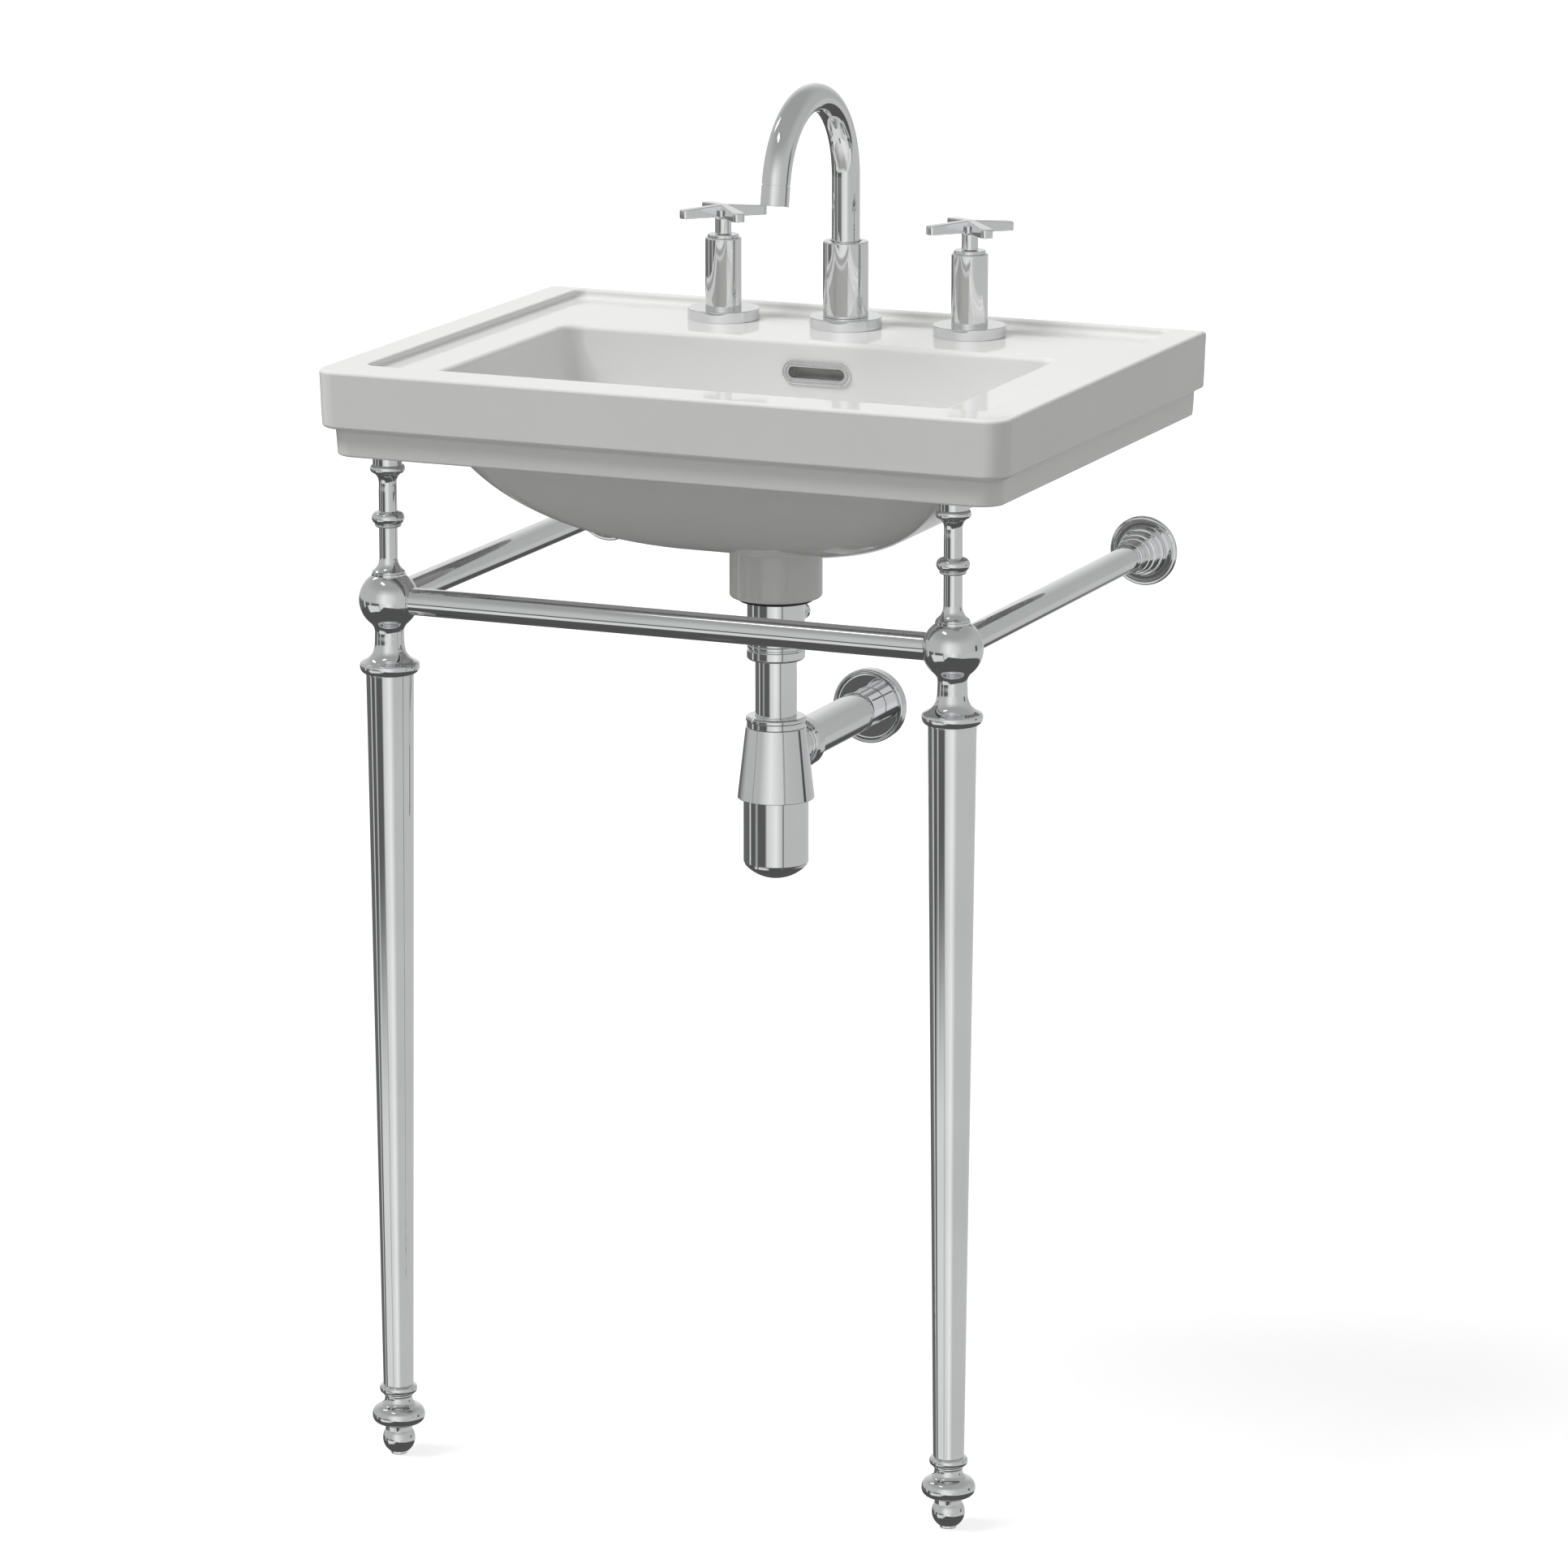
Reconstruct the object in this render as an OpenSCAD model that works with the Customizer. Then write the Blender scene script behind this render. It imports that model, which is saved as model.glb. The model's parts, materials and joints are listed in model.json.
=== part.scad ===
// Console sink: a rectangular ceramic basin on a two-legged chromed stand,
// with a three-piece tap, a waste and a bottle trap. Millimetres.
// The middle of the basin is at x = 0 and y = 0, the front faces -y,
// the wall is the plane at half the basin's depth and the floor is z = 0.

/* [Basin outside] */
// Width of the basin
basin_width = 560; // [520:1:700]
// Depth of the basin from its front to the wall
basin_depth = 430; // [425:1:520]
// Height of the rim over the floor
rim_height = 854.5; // [820:0.5:920]
// Height of the upper band under the rim
band_height = 45; // [40:1:60]
// Height of the lower, set-back band
step_height = 22; // [16:1:30]
// How far the lower band stands back
step_inset = 7.7; // [6:0.1:9]
// Lean of the outside, because the casting has to leave its mould
draft_angle = 2; // [1:0.5:2.5]
// Radius of the two front corners
corner_radius = 18; // [18:1:24]
// Rounding of the rim's outer edge
rim_edge = 3; // [1:0.5:5]
// Rounding of the hollow between the two bands
band_fillet = 4; // [2:0.5:5]
// Thickness of the ceramic skirt at the lower band
skirt_wall = 13; // [9:1:16]
// Thickness of the ceramic against the wall
back_wall = 20; // [16:1:26]

/* [Basin top] */
// Width of the flat rim at each side
rim_side = 27.4; // [22:0.2:32]
// Width of the flat rim at the front
rim_front = 36; // [28:1:38]
// Width of the flat rim at the wall
rim_back = 7.75; // [5:0.25:12]
// Depth of the sunk ledge under the rim
ledge_depth = 6.5; // [4:0.5:9]
// Radius of the sunk ledge's corners
ledge_corner = 10; // [6:1:20]
// Thickness of the ceramic ledge
ledge_wall = 13; // [10:1:16]

/* [Bowl] */
// Distance from the basin's side to the bowl's mouth
bowl_side_gap = 75.3; // [65:0.1:100]
// Distance from the basin's front to the bowl
bowl_front_gap = 50; // [48:1:60]
// Distance from the wall to the bowl's mouth
bowl_back_gap = 128.5; // [124:0.5:140]
// Depth of the bowl under the ledge
bowl_depth = 134; // [120:1:140]
// How full the bowl's sides are: 2 is an ellipse, more is squarer
bowl_fullness = 1.94; // [1.8:0.02:2.2]
// Corner radius of the mouth at the front
bowl_front_corner = 27; // [20:1:34]
// Corner radius of the mouth at the back
bowl_back_corner = 14; // [12:1:30]
// Rounding of the mouth's edge
bowl_edge = 4.5; // [3:0.5:6]
// Thickness of the bowl's wall
bowl_wall = 11; // [9:1:12]
// Distance from the wall to the outlet
outlet_from_wall = 195.2; // [190:0.2:205]
// Radius of the flat bottom round the outlet
outlet_flat_radius = 34; // [33:1:37]
// Radius of the ceramic boss under the outlet
boss_radius = 36; // [35:1:40]
// Length of the boss and the bowl's floor over it
boss_length = 54.7; // [48:0.1:59]

/* [Overflow] */
// Distance of the overflow to the right of the middle
overflow_shift = 6; // [0:1:8]
// Depth of the overflow under the ledge
overflow_drop = 25; // [24:0.5:30]
// Length of the overflow ring
overflow_ring_length = 57; // [52:1:62]
// Height of the overflow ring
overflow_ring_height = 19; // [16:1:22]
// Length of the overflow slot
overflow_slot_length = 45; // [40:1:48]
// Height of the overflow slot
overflow_slot_height = 8.5; // [6:0.5:10]
// How far the ring stands proud of the bowl
overflow_ring_proud = 2.5; // [1.5:0.5:4]

/* [Stand] */
// Distance from the basin's side to a leg's axis
leg_from_side = 50; // [45:1:60]
// Distance from the basin's front to the leg axes
leg_from_front = 26.8; // [26.5:0.1:30]
// Distance from the basin's underside down to the rails
rail_drop = 110.1; // [97:0.1:128]
// Diameter of the rails
rail_diameter = 21; // [18:0.5:24]
// Radius of the joint balls
ball_radius = 22.9; // [21:0.1:25]
// Radius of the collar under the basin
collar_radius = 11.15; // [10:0.05:12]
// Radius of the thin upper stems
stem_radius = 7.17; // [6.5:0.01:8]
// Radius of the bead under the collar
collar_bead_radius = 13.3; // [12:0.1:15]
// Radius of the bead half way down the stem
stem_bead_radius = 12.5; // [11:0.1:15]
// Radius of the wide bead under the joint ball
cap_bead_radius = 22.8; // [21:0.1:24]
// Upper radius of the tapered leg
leg_top_radius = 18.1; // [16:0.1:20]
// Lower radius of the tapered leg
leg_bottom_radius = 11.65; // [10.5:0.05:13]
// Wall of the tapered leg, which is a tube
leg_wall = 2.5; // [2:0.1:3.5]
// Radius of the turned disc in the foot
foot_disc_radius = 20.35; // [18:0.05:23]
// Radius of the ball at the end of the foot
foot_ball_radius = 12.55; // [11:0.05:14]
// How far a levelling pad can be screwed out
pad_travel = 8; // [4:1:12]
// Radius of the wall rosettes
rosette_radius = 27.5; // [25:0.5:32]

/* [Taps] */
// Distance from the spout to each valve
valve_spacing = 104.2; // [100:0.1:110]
// Distance from the wall to the tap row
taps_from_wall = 56.5; // [55:0.5:60]
// Radius of the round flanges on the ledge
flange_radius = 28.5; // [26:0.5:31]
// Thickness of the round flanges
flange_thickness = 8.7; // [6:0.1:11]
// Radius of a valve's column
valve_radius = 14.3; // [13:0.1:16]
// Height of a valve's column over its flange
valve_height = 56; // [50:1:64]
// Radius of a handle's neck
handle_neck_radius = 6.5; // [6:0.1:8]
// Height of a handle's neck
handle_neck_height = 13.5; // [10:0.5:18]
// Length of a handle's arms from its axis
handle_reach = 36; // [30:0.5:38]
// Width of a handle's arm at its tip
handle_tip_width = 10; // [8:0.5:12]
// Width of a handle's arm at its root
handle_root_width = 6; // [5:0.5:7]
// Turn of a handle between shut and open
handle_turn_angle = 45; // [40:1:50]
// Radius of the spout's column
spout_base_radius = 17.85; // [16:0.05:20]
// Height of the spout's column over its flange
spout_base_height = 59.4; // [54:0.1:66]
// Outer diameter of the spout's tube
spout_diameter = 22.2; // [20:0.1:24]
// Wall of the spout's tube
spout_wall = 1.6; // [1.2:0.1:2]
// Radius of the spout's bend, along its middle
spout_bend_radius = 69.8; // [60:0.1:80]
// Height of the bend's centre over the ledge
spout_bend_rise = 118.9; // [105:0.1:130]
// Angle that the bend turns through
spout_bend_angle = 170; // [160:1:176]
// Length of the nozzle at the spout's end
nozzle_length = 16.7; // [14:0.1:20]

/* [Waste and trap] */
// Radius of the waste's tail under the basin
waste_radius = 22.3; // [20:0.1:24]
// How far the waste plug lifts
plug_travel = 8; // [5:1:10]
// Diameter of the trap's tubes
trap_tube_diameter = 32.2; // [31:0.1:33]
// Distance from the tail nut's top down to the trap's outlet
trap_drop = 87.8; // [80:0.1:104]
// Upper radius of the trap's bell
bell_top_radius = 23.5; // [23:0.1:26]
// Lower radius of the trap's bell
bell_bottom_radius = 30; // [29:0.5:34]
// How far the bell reaches below the trap's outlet
bell_skirt = 34.2; // [31:0.2:40]
// How far the bell rises over the trap's outlet
bell_rise = 22.3; // [19:0.1:26]
// Radius of the trap's cup
cup_radius = 25.3; // [24:0.1:27]
// Length of the cup's straight wall under the bell
cup_length = 52; // [44:0.5:62]
// Depth of the cup's domed bottom
cup_dome = 12; // [8:0.5:15]
// Radius of the round plate on the wall
wall_plate_radius = 30; // [27:0.5:34]
// Depth of the round plate on the wall
wall_plate_depth = 9.5; // [7:0.5:13]

/* [Hidden] */
$fn = 96;
// Clearance of pieces that turn or slide
running_gap = 0.06;
// Clearance of pieces that are put together once
fitted_gap = 0.1;
// Gap between pieces of two moving groups
free_gap = 0.3;
// Overrun of every cut past the face that it leaves
overrun = 1;
// A quarter and an eighth of a full turn
quarter_turn = 90;
eighth_turn = 45;

front_y = -basin_depth / 2;
wall_y = basin_depth / 2;
half_width = basin_width / 2;
ledge_z = rim_height - ledge_depth;
ledge_under_z = ledge_z - ledge_wall;
band_z = rim_height - band_height;
skirt_z = band_z - step_height;
outlet_y = wall_y - outlet_from_wall;
bowl_half_width = half_width - bowl_side_gap;
bowl_front_y = front_y + bowl_front_gap;
bowl_back_y = wall_y - bowl_back_gap;
bowl_bottom_z = ledge_z - bowl_depth;
boss_bottom = bowl_bottom_z - boss_length;
taps_y = wall_y - taps_from_wall;
leg_y = front_y + leg_from_front;
leg_x = half_width - leg_from_side;
rail_height = skirt_z - rail_drop;
rail_radius = rail_diameter / 2;

// Profile helpers: every turned piece is a list of points [radius, height].
arc_steps = 6;
function arc_points(radius, height, across, along, from_angle, to_angle) =
    [for (step = [0:arc_steps])
        let (angle = from_angle + (to_angle - from_angle) * step / arc_steps)
        [radius + across * cos(angle), height + along * sin(angle)]];
// Half-round bead that bulges from a core radius to an outer one, listed from
// its top to its bottom.
function bead(core, outer, height, half_height) =
    arc_points(core, height, outer - core, half_height, 90, -90);
// Hollow curve from a wide top to a narrow stem below it.
function cove_down(wide, narrow, top, bottom) =
    arc_points(wide, bottom, wide - narrow, top - bottom, 90, 180);
// Hollow curve from a narrow stem out to a wide edge below it.
function cove_out(narrow, wide, top, bottom) =
    arc_points(wide, top, wide - narrow, top - bottom, 180, 270);

module turned(points) {
    rotate_extrude() polygon(points);
}

module ring(outer, inner, bottom, top) {
    translate([0, 0, bottom]) difference() {
        cylinder(r = outer, h = top - bottom);
        translate([0, 0, -overrun]) cylinder(r = inner, h = top - bottom + 2 * overrun);
    }
}

// Bar along y from one place to another, on a given height.
module bar_y(radius, from_y, to_y, height) {
    translate([0, from_y, height]) rotate([-90, 0, 0]) cylinder(r = radius, h = to_y - from_y);
}

module both_sides() {
    children();
    mirror([1, 0, 0]) children();
}

// Hexagon of a nut, given across its flats.
module hexagon(across_flats, height) {
    cylinder(d = across_flats / cos(180 / 6), h = height, $fn = 6);
}

// Ceramic basin: one casting with rim, ledge, bowl, skirt and outlet boss.
BASIN_COLOUR = [0.96, 0.96, 0.95];
CHROME = [0.78, 0.79, 0.80];
BRASS = [0.80, 0.66, 0.36];
RUBBER = [0.13, 0.13, 0.14];
skirt_edge = 2;
band_edge = 3;
band_u = corner_radius - band_height * tan(draft_angle);
step_top_u = band_u - step_inset;
step_bottom_u = step_top_u - step_height * tan(draft_angle);
core_half = half_width - corner_radius;
cavity_half = core_half + step_bottom_u - skirt_wall;
cavity_front_y = front_y + corner_radius - step_bottom_u + skirt_wall;
cavity_back_y = wall_y - back_wall;
cavity_corner = 9;

// Section of the outside, from the inner core at u = 0 outwards.
function outside_section(lap) = concat(
    [[-lap, skirt_z]],
    arc_points(step_bottom_u - skirt_edge, skirt_z + skirt_edge, skirt_edge, skirt_edge, -90, 0),
    arc_points(step_top_u + band_fillet, band_z - band_fillet, band_fillet, band_fillet, 180, 90),
    arc_points(band_u - band_edge, band_z + band_edge, band_edge, band_edge, -90, 0),
    arc_points(corner_radius - rim_edge, rim_height - rim_edge, rim_edge, rim_edge, 0, 90),
    [[-lap, rim_height]]);

module outside_strip(length) {
    rotate([90, 0, 0]) linear_extrude(length) polygon(outside_section(overrun));
}

module basin_outside() {
    translate([-core_half, front_y + corner_radius, skirt_z])
        cube([2 * core_half, basin_depth - corner_radius, rim_height - skirt_z]);
    both_sides() {
        translate([core_half, wall_y, 0]) outside_strip(basin_depth - corner_radius);
        translate([core_half, front_y + corner_radius, 0]) rotate([0, 0, -90])
            rotate_extrude(angle = 90) polygon(outside_section(0));
    }
    translate([core_half, front_y + corner_radius, 0]) rotate([0, 0, -90])
        outside_strip(2 * core_half);
}

// Upright block with rounded corners, given by its four sides.
module rounded_block(left, right, front, back, bottom, top, radius) {
    translate([0, 0, bottom]) linear_extrude(top - bottom) {
        translate([left + radius, front]) square([right - left - 2 * radius, back - front]);
        translate([left, front + radius]) square([right - left, back - front - 2 * radius]);
        for (x = [left + radius, right - radius], y = [front + radius, back - radius])
            translate([x, y]) circle(r = radius);
    }
}

// Level outline of the bowl: a rectangle with a corner radius at the front
// and one at the back, anticlockwise from its right side.
bowl_corner_steps = 8;
function corner_points(x, y, radius, start_angle, height) =
    [for (step = [0:bowl_corner_steps])
        let (angle = start_angle + 90 * step / bowl_corner_steps)
        [x + radius * cos(angle), y + radius * sin(angle), height]];
function outline_points(half_x, front, back, front_radius, back_radius, height) = concat(
    corner_points(half_x - back_radius, back - back_radius, back_radius, 0, height),
    corner_points(back_radius - half_x, back - back_radius, back_radius, 90, height),
    corner_points(front_radius - half_x, front + front_radius, front_radius, 180, height),
    corner_points(half_x - front_radius, front + front_radius, front_radius, 270, height));

// One level of the bowl, from the mouth (turn 0) to the outlet (turn 90),
// grown by the wall's thickness for the bowl's outside.
function bowl_level(turn, grow) =
    let (wide = pow(cos(turn), 2 / bowl_fullness))
    let (deep = pow(sin(turn), 2 / bowl_fullness))
    let (flat = outlet_flat_radius + grow)
    outline_points(
        flat + (bowl_half_width + grow - flat) * wide,
        outlet_y - flat + (bowl_front_y - grow - outlet_y + flat) * wide,
        outlet_y + flat + (bowl_back_y + grow - outlet_y - flat) * wide,
        flat + (bowl_front_corner + grow - flat) * wide,
        flat + (bowl_back_corner + grow - flat) * wide,
        ledge_z - bowl_edge - (bowl_depth - bowl_edge + grow) * deep);

// The rounded lip over the bowl's first level.
function lip_level(angle) =
    let (out = bowl_edge * (1 + cos(angle)))
    outline_points(
        bowl_half_width + out, bowl_front_y - out, bowl_back_y + out,
        bowl_front_corner + out, bowl_back_corner + out,
        ledge_z - bowl_edge + bowl_edge * sin(angle));

bowl_levels = 14;
lip_steps = 4;
outline_count = 4 * (bowl_corner_steps + 1);

// Closed body through level outlines, listed from the top down.
module lofted(levels) {
    last = len(levels) - 1;
    points = [for (level = levels) each level];
    walls = [for (row = [0:last - 1], column = [0:outline_count - 1])
        let (upper = row * outline_count + column)
        let (upper_next = row * outline_count + (column + 1) % outline_count)
        let (lower = upper + outline_count)
        let (lower_next = upper_next + outline_count)
        each [[upper, upper_next, lower_next], [upper, lower_next, lower]]];
    top = [for (column = [outline_count - 1:-1:0]) column];
    bottom = [for (column = [0:outline_count - 1]) last * outline_count + column];
    polyhedron(points = points, faces = concat([top], walls, [bottom]));
}

module bowl_inside() {
    mouth = [for (point = lip_level(0)) [point[0], point[1], ledge_z + overrun]];
    lofted(concat(
        [mouth],
        [for (step = [0:lip_steps]) lip_level(quarter_turn * (1 + step / lip_steps))],
        [for (step = [1:bowl_levels]) bowl_level(quarter_turn * step / bowl_levels, 0)]));
}

module bowl_outside() {
    lofted([for (step = [0:bowl_levels])
        bowl_level(quarter_turn * step / bowl_levels, bowl_wall)]);
}

// Overflow: a slot in the bowl's back wall and a duct down to the outlet.
overflow_z = ledge_z - overflow_drop;
duct_side_room = 1;
duct_width = overflow_slot_length + 2 * duct_side_room;
duct_wall = 7;
duct_depth = 7;
duct_into_wall = 3;
duct_start = bowl_wall - duct_into_wall;
duct_headroom = overflow_slot_height;
duct_outside = duct_start + duct_depth + duct_wall;
ring_seat = 1;
ring_sleeve_wall = 2;
ring_sleeve_height = overflow_slot_height + 2 * ring_sleeve_wall;
ring_sleeve_length = overflow_slot_length + 2 * ring_sleeve_wall;
ring_seat_y = bowl_back_y + ring_seat;

// The bowl's back wall on the middle plane, as [y, height], grown outwards.
function back_line(grow) =
    [for (step = [0:bowl_levels])
        let (turn = quarter_turn * step / bowl_levels)
        let (wide = pow(cos(turn), 2 / bowl_fullness))
        let (deep = pow(sin(turn), 2 / bowl_fullness))
        let (near = outlet_y + outlet_flat_radius + grow)
        [near + (bowl_back_y + grow - near) * wide,
            ledge_z - bowl_edge - (bowl_depth - bowl_edge + grow) * deep]];
function back_line_up(grow) =
    let (line = back_line(grow))
    [for (step = [bowl_levels:-1:0]) line[step]];

module across_overflow(width) {
    translate([overflow_shift - width / 2, 0, 0]) rotate([90, 0, 90])
        linear_extrude(width) children();
}

module duct_shape(inner, outer) {
    polygon(concat(
        back_line(outer),
        [[outlet_y, bowl_bottom_z - outer], [outlet_y, bowl_bottom_z - inner]],
        back_line_up(inner)));
}

module duct_rib() {
    across_overflow(duct_width + 2 * duct_wall) duct_shape(bowl_wall / 2, duct_outside);
}

module duct_passage() {
    intersection() {
        across_overflow(duct_width) duct_shape(duct_start, duct_start + duct_depth);
        translate([-half_width, front_y, 0])
            cube([basin_width, basin_depth, overflow_z + duct_headroom]);
    }
}

// Flat slot with round ends, lying along x and pushed from one y to another.
module obround_y(length, height, from_y, to_y) {
    translate([overflow_shift, from_y, overflow_z]) rotate([-90, 0, 0])
        linear_extrude(to_y - from_y) {
            square([length - height, height], center = true);
            for (side = [-1, 1])
                translate([side * (length - height) / 2, 0]) circle(d = height);
        }
}

// Taps: three shanks of one size pass through the ledge.
shank_radius = 16.5;
tap_hole_radius = 17.5;
tail_radius = 10.4;
tail_length = 18;
shank_reach = 22;
port_block_radius = 13;
port_block_height = 18;
link_radius = 6;
link_bore_radius = 4;
link_reach = 26;
port_floor = 3;
washer_radius = 22.5;
washer_thickness = 3;
nut_thickness = 8;
nut_across_flats = 41;
shank_bottom_z = ledge_under_z - shank_reach;
port_block_bottom_z = shank_bottom_z - port_block_height;
tail_bottom_z = port_block_bottom_z - tail_length;
link_z = shank_bottom_z - port_block_height / 2;
flange_top_z = ledge_z + flange_thickness;
tap_places = [-valve_spacing, 0, valve_spacing];

// Fixing of the basin: two bolt holes to the wall, two sockets for the legs.
wall_hole_spacing = 280;
wall_hole_radius = 6;
wall_hole_rise = 24.5;
wall_hole_z = skirt_z + wall_hole_rise;
leg_pin_radius = 6;
leg_pin_length = 20;
leg_boss_half = 24;

// Outlet of the basin.
waste_hole_gap = 0.012;
waste_hole_radius = waste_radius + waste_hole_gap;
boss_fillet = 7;

module outlet_boss() {
    translate([0, outlet_y, 0]) {
        translate([0, 0, boss_bottom])
            cylinder(r = boss_radius, h = bowl_bottom_z - bowl_wall / 2 - boss_bottom);
        boss_top = bowl_bottom_z - bowl_wall;
        turned(concat(
            [[boss_radius - overrun, boss_top - boss_fillet]],
            arc_points(boss_radius + boss_fillet, boss_top - boss_fillet,
                boss_fillet, boss_fillet, 180, 90),
            [[boss_radius + boss_fillet, boss_top + overrun],
                [boss_radius - overrun, boss_top + overrun]]));
    }
}

module leg_bosses() {
    both_sides()
        translate([leg_x - leg_boss_half, cavity_front_y - overrun, skirt_z])
            cube([cavity_half + overrun - leg_x + leg_boss_half,
                leg_y + leg_boss_half - cavity_front_y + overrun,
                ledge_under_z + overrun - skirt_z]);
}

module basin() {
    color(BASIN_COLOUR) difference() {
        union() {
            difference() {
                basin_outside();
                rounded_block(-cavity_half, cavity_half, cavity_front_y, cavity_back_y,
                    skirt_z - overrun, ledge_under_z, cavity_corner);
            }
            bowl_outside();
            outlet_boss();
            leg_bosses();
            duct_rib();
        }
        rounded_block(rim_side - half_width, half_width - rim_side, front_y + rim_front,
            wall_y - rim_back, ledge_z, rim_height + overrun, ledge_corner);
        bowl_inside();
        duct_passage();
        obround_y(overflow_ring_length + 2 * fitted_gap, overflow_ring_height + 2 * fitted_gap,
            bowl_back_y - bowl_wall, ring_seat_y);
        obround_y(ring_sleeve_length + 2 * fitted_gap, ring_sleeve_height + 2 * fitted_gap,
            bowl_back_y - bowl_wall, bowl_back_y + duct_start + overrun);
        translate([0, outlet_y, boss_bottom - overrun])
            cylinder(r = waste_hole_radius, h = bowl_bottom_z + 2 * overrun - boss_bottom);
        for (x = tap_places)
            translate([x, taps_y, ledge_under_z - overrun])
                cylinder(r = tap_hole_radius, h = ledge_wall + 2 * overrun);
        both_sides() {
            translate([wall_hole_spacing / 2, 0, 0])
                bar_y(wall_hole_radius, cavity_back_y - overrun, wall_y + overrun, wall_hole_z);
            translate([leg_x, leg_y, skirt_z - overrun])
                cylinder(r = leg_pin_radius + fitted_gap, h = leg_pin_length + 2 * overrun);
        }
    }
}

// Chromed ring that lines the overflow slot.
ring_lip = 1;
module overflow_ring() {
    front = bowl_back_y - overflow_ring_proud;
    color(CHROME) difference() {
        union() {
            obround_y(overflow_ring_length, overflow_ring_height, front + ring_lip, ring_seat_y);
            obround_y(overflow_ring_length - 2 * ring_lip, overflow_ring_height - 2 * ring_lip,
                front, front + 2 * ring_lip);
            obround_y(ring_sleeve_length, ring_sleeve_height, front + ring_lip,
                bowl_back_y + duct_start);
        }
        obround_y(overflow_slot_length, overflow_slot_height, front - overrun,
            bowl_back_y + duct_start + overrun);
    }
}

// Tap flanges: round cover plates between the columns and the ledge.
flange_edge = 0.8;
flange_lip = 2.5;
shank_top_z = flange_top_z - flange_lip;

module flange(x, column_radius) {
    color(CHROME) translate([x, taps_y, 0]) difference() {
        turned(concat(
            [[0, ledge_z], [flange_radius, ledge_z]],
            arc_points(flange_radius - flange_edge, flange_top_z - flange_edge,
                flange_edge, flange_edge, 0, 90),
            [[0, flange_top_z]]));
        translate([0, 0, ledge_z - overrun])
            cylinder(r = shank_radius + fitted_gap, h = shank_top_z - ledge_z + overrun);
        translate([0, 0, ledge_z])
            cylinder(r = column_radius + fitted_gap, h = flange_thickness + overrun);
    }
}

module hot_flange() { flange(-valve_spacing, valve_radius); }
module cold_flange() { flange(valve_spacing, valve_radius); }
module spout_flange() { flange(0, shank_radius); }

// Shank that holds a tap down and the block under it that takes the hoses,
// shared by all three.
module shank(top_z) {
    translate([0, 0, shank_bottom_z]) cylinder(r = shank_radius, h = top_z - shank_bottom_z);
    translate([0, 0, port_block_bottom_z])
        cylinder(r = port_block_radius, h = port_block_height + overrun);
}

// Stub along x for the hose between a valve and the spout, or its passage.
module link_stub(direction, radius, from_x, to_x) {
    translate([direction * from_x, 0, link_z]) rotate([0, direction * 90, 0])
        cylinder(r = radius, h = to_x - from_x);
}

// Valve: column, bonnet, cartridge, spindle and cross handle on one axis.
waterway_radius = 7;
cartridge_radius = 10;
cartridge_length = 35;
cartridge_depth = 12.7;
spindle_radius = 4;
spindle_insert = 14;
spindle_rise = 4;
bonnet_radius = 12.45;
bonnet_cap = 2.5;
column_edge = 1.2;
valve_top_z = flange_top_z + valve_height;
cartridge_top_z = valve_top_z - cartridge_depth;
cartridge_bottom_z = cartridge_top_z - cartridge_length;
bonnet_top_z = valve_top_z + bonnet_cap;
handle_bottom_z = bonnet_top_z + free_gap;
hub_bottom_z = handle_bottom_z + handle_neck_height;
spindle_top_z = hub_bottom_z + spindle_rise;

module valve_body(x) {
    inwards = x > 0 ? -1 : 1;
    color(CHROME) translate([x, taps_y, 0]) difference() {
        union() {
            shank(shank_top_z);
            translate([0, 0, tail_bottom_z])
                cylinder(r = tail_radius, h = tail_length + overrun);
            link_stub(inwards, link_radius, port_block_radius - overrun, link_reach);
            turned(concat(
                [[0, shank_top_z - overrun], [valve_radius, shank_top_z - overrun]],
                arc_points(valve_radius - column_edge, valve_top_z - column_edge,
                    column_edge, column_edge, 0, 90),
                [[0, valve_top_z]]));
        }
        translate([0, 0, tail_bottom_z - overrun])
            cylinder(r = waterway_radius, h = cartridge_bottom_z - tail_bottom_z + 2 * overrun);
        link_stub(inwards, link_bore_radius, tail_radius, link_reach + overrun);
        translate([0, 0, cartridge_bottom_z])
            cylinder(r = cartridge_radius + fitted_gap,
                h = valve_top_z - cartridge_bottom_z + overrun);
    }
}

module cartridge(x) {
    color(BRASS) translate([x, taps_y, 0]) difference() {
        translate([0, 0, cartridge_bottom_z])
            cylinder(r = cartridge_radius, h = cartridge_length);
        translate([0, 0, cartridge_top_z - spindle_insert - free_gap])
            cylinder(r = spindle_radius + free_gap, h = spindle_insert + 2 * overrun);
    }
}

module bonnet(x) {
    color(CHROME) translate([x, taps_y, 0]) difference() {
        union() {
            translate([0, 0, cartridge_top_z])
                cylinder(r = cartridge_radius, h = valve_top_z - cartridge_top_z + overrun);
            translate([0, 0, valve_top_z]) cylinder(r = bonnet_radius, h = bonnet_cap);
        }
        translate([0, 0, cartridge_top_z - overrun])
            cylinder(r = spindle_radius + running_gap,
                h = bonnet_top_z - cartridge_top_z + 2 * overrun);
    }
}

module spindle(x) {
    bottom = cartridge_top_z - spindle_insert;
    color(BRASS) translate([x, taps_y, bottom])
        cylinder(r = spindle_radius, h = spindle_top_z - bottom);
}

// Cross handle: four arms that widen and get thinner towards their tips.
hub_radius = 7.7;
hub_step = 1;
arm_root_rise = 9.7;
arm_tip_rise = 6.8;
arm_bottom_z = hub_bottom_z + hub_step;
arm_root_top_z = hub_bottom_z + arm_root_rise;
arm_tip_top_z = hub_bottom_z + arm_tip_rise;
arm_edge = 1.4;
tip_corner = handle_tip_width / 2 - arm_edge;

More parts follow.
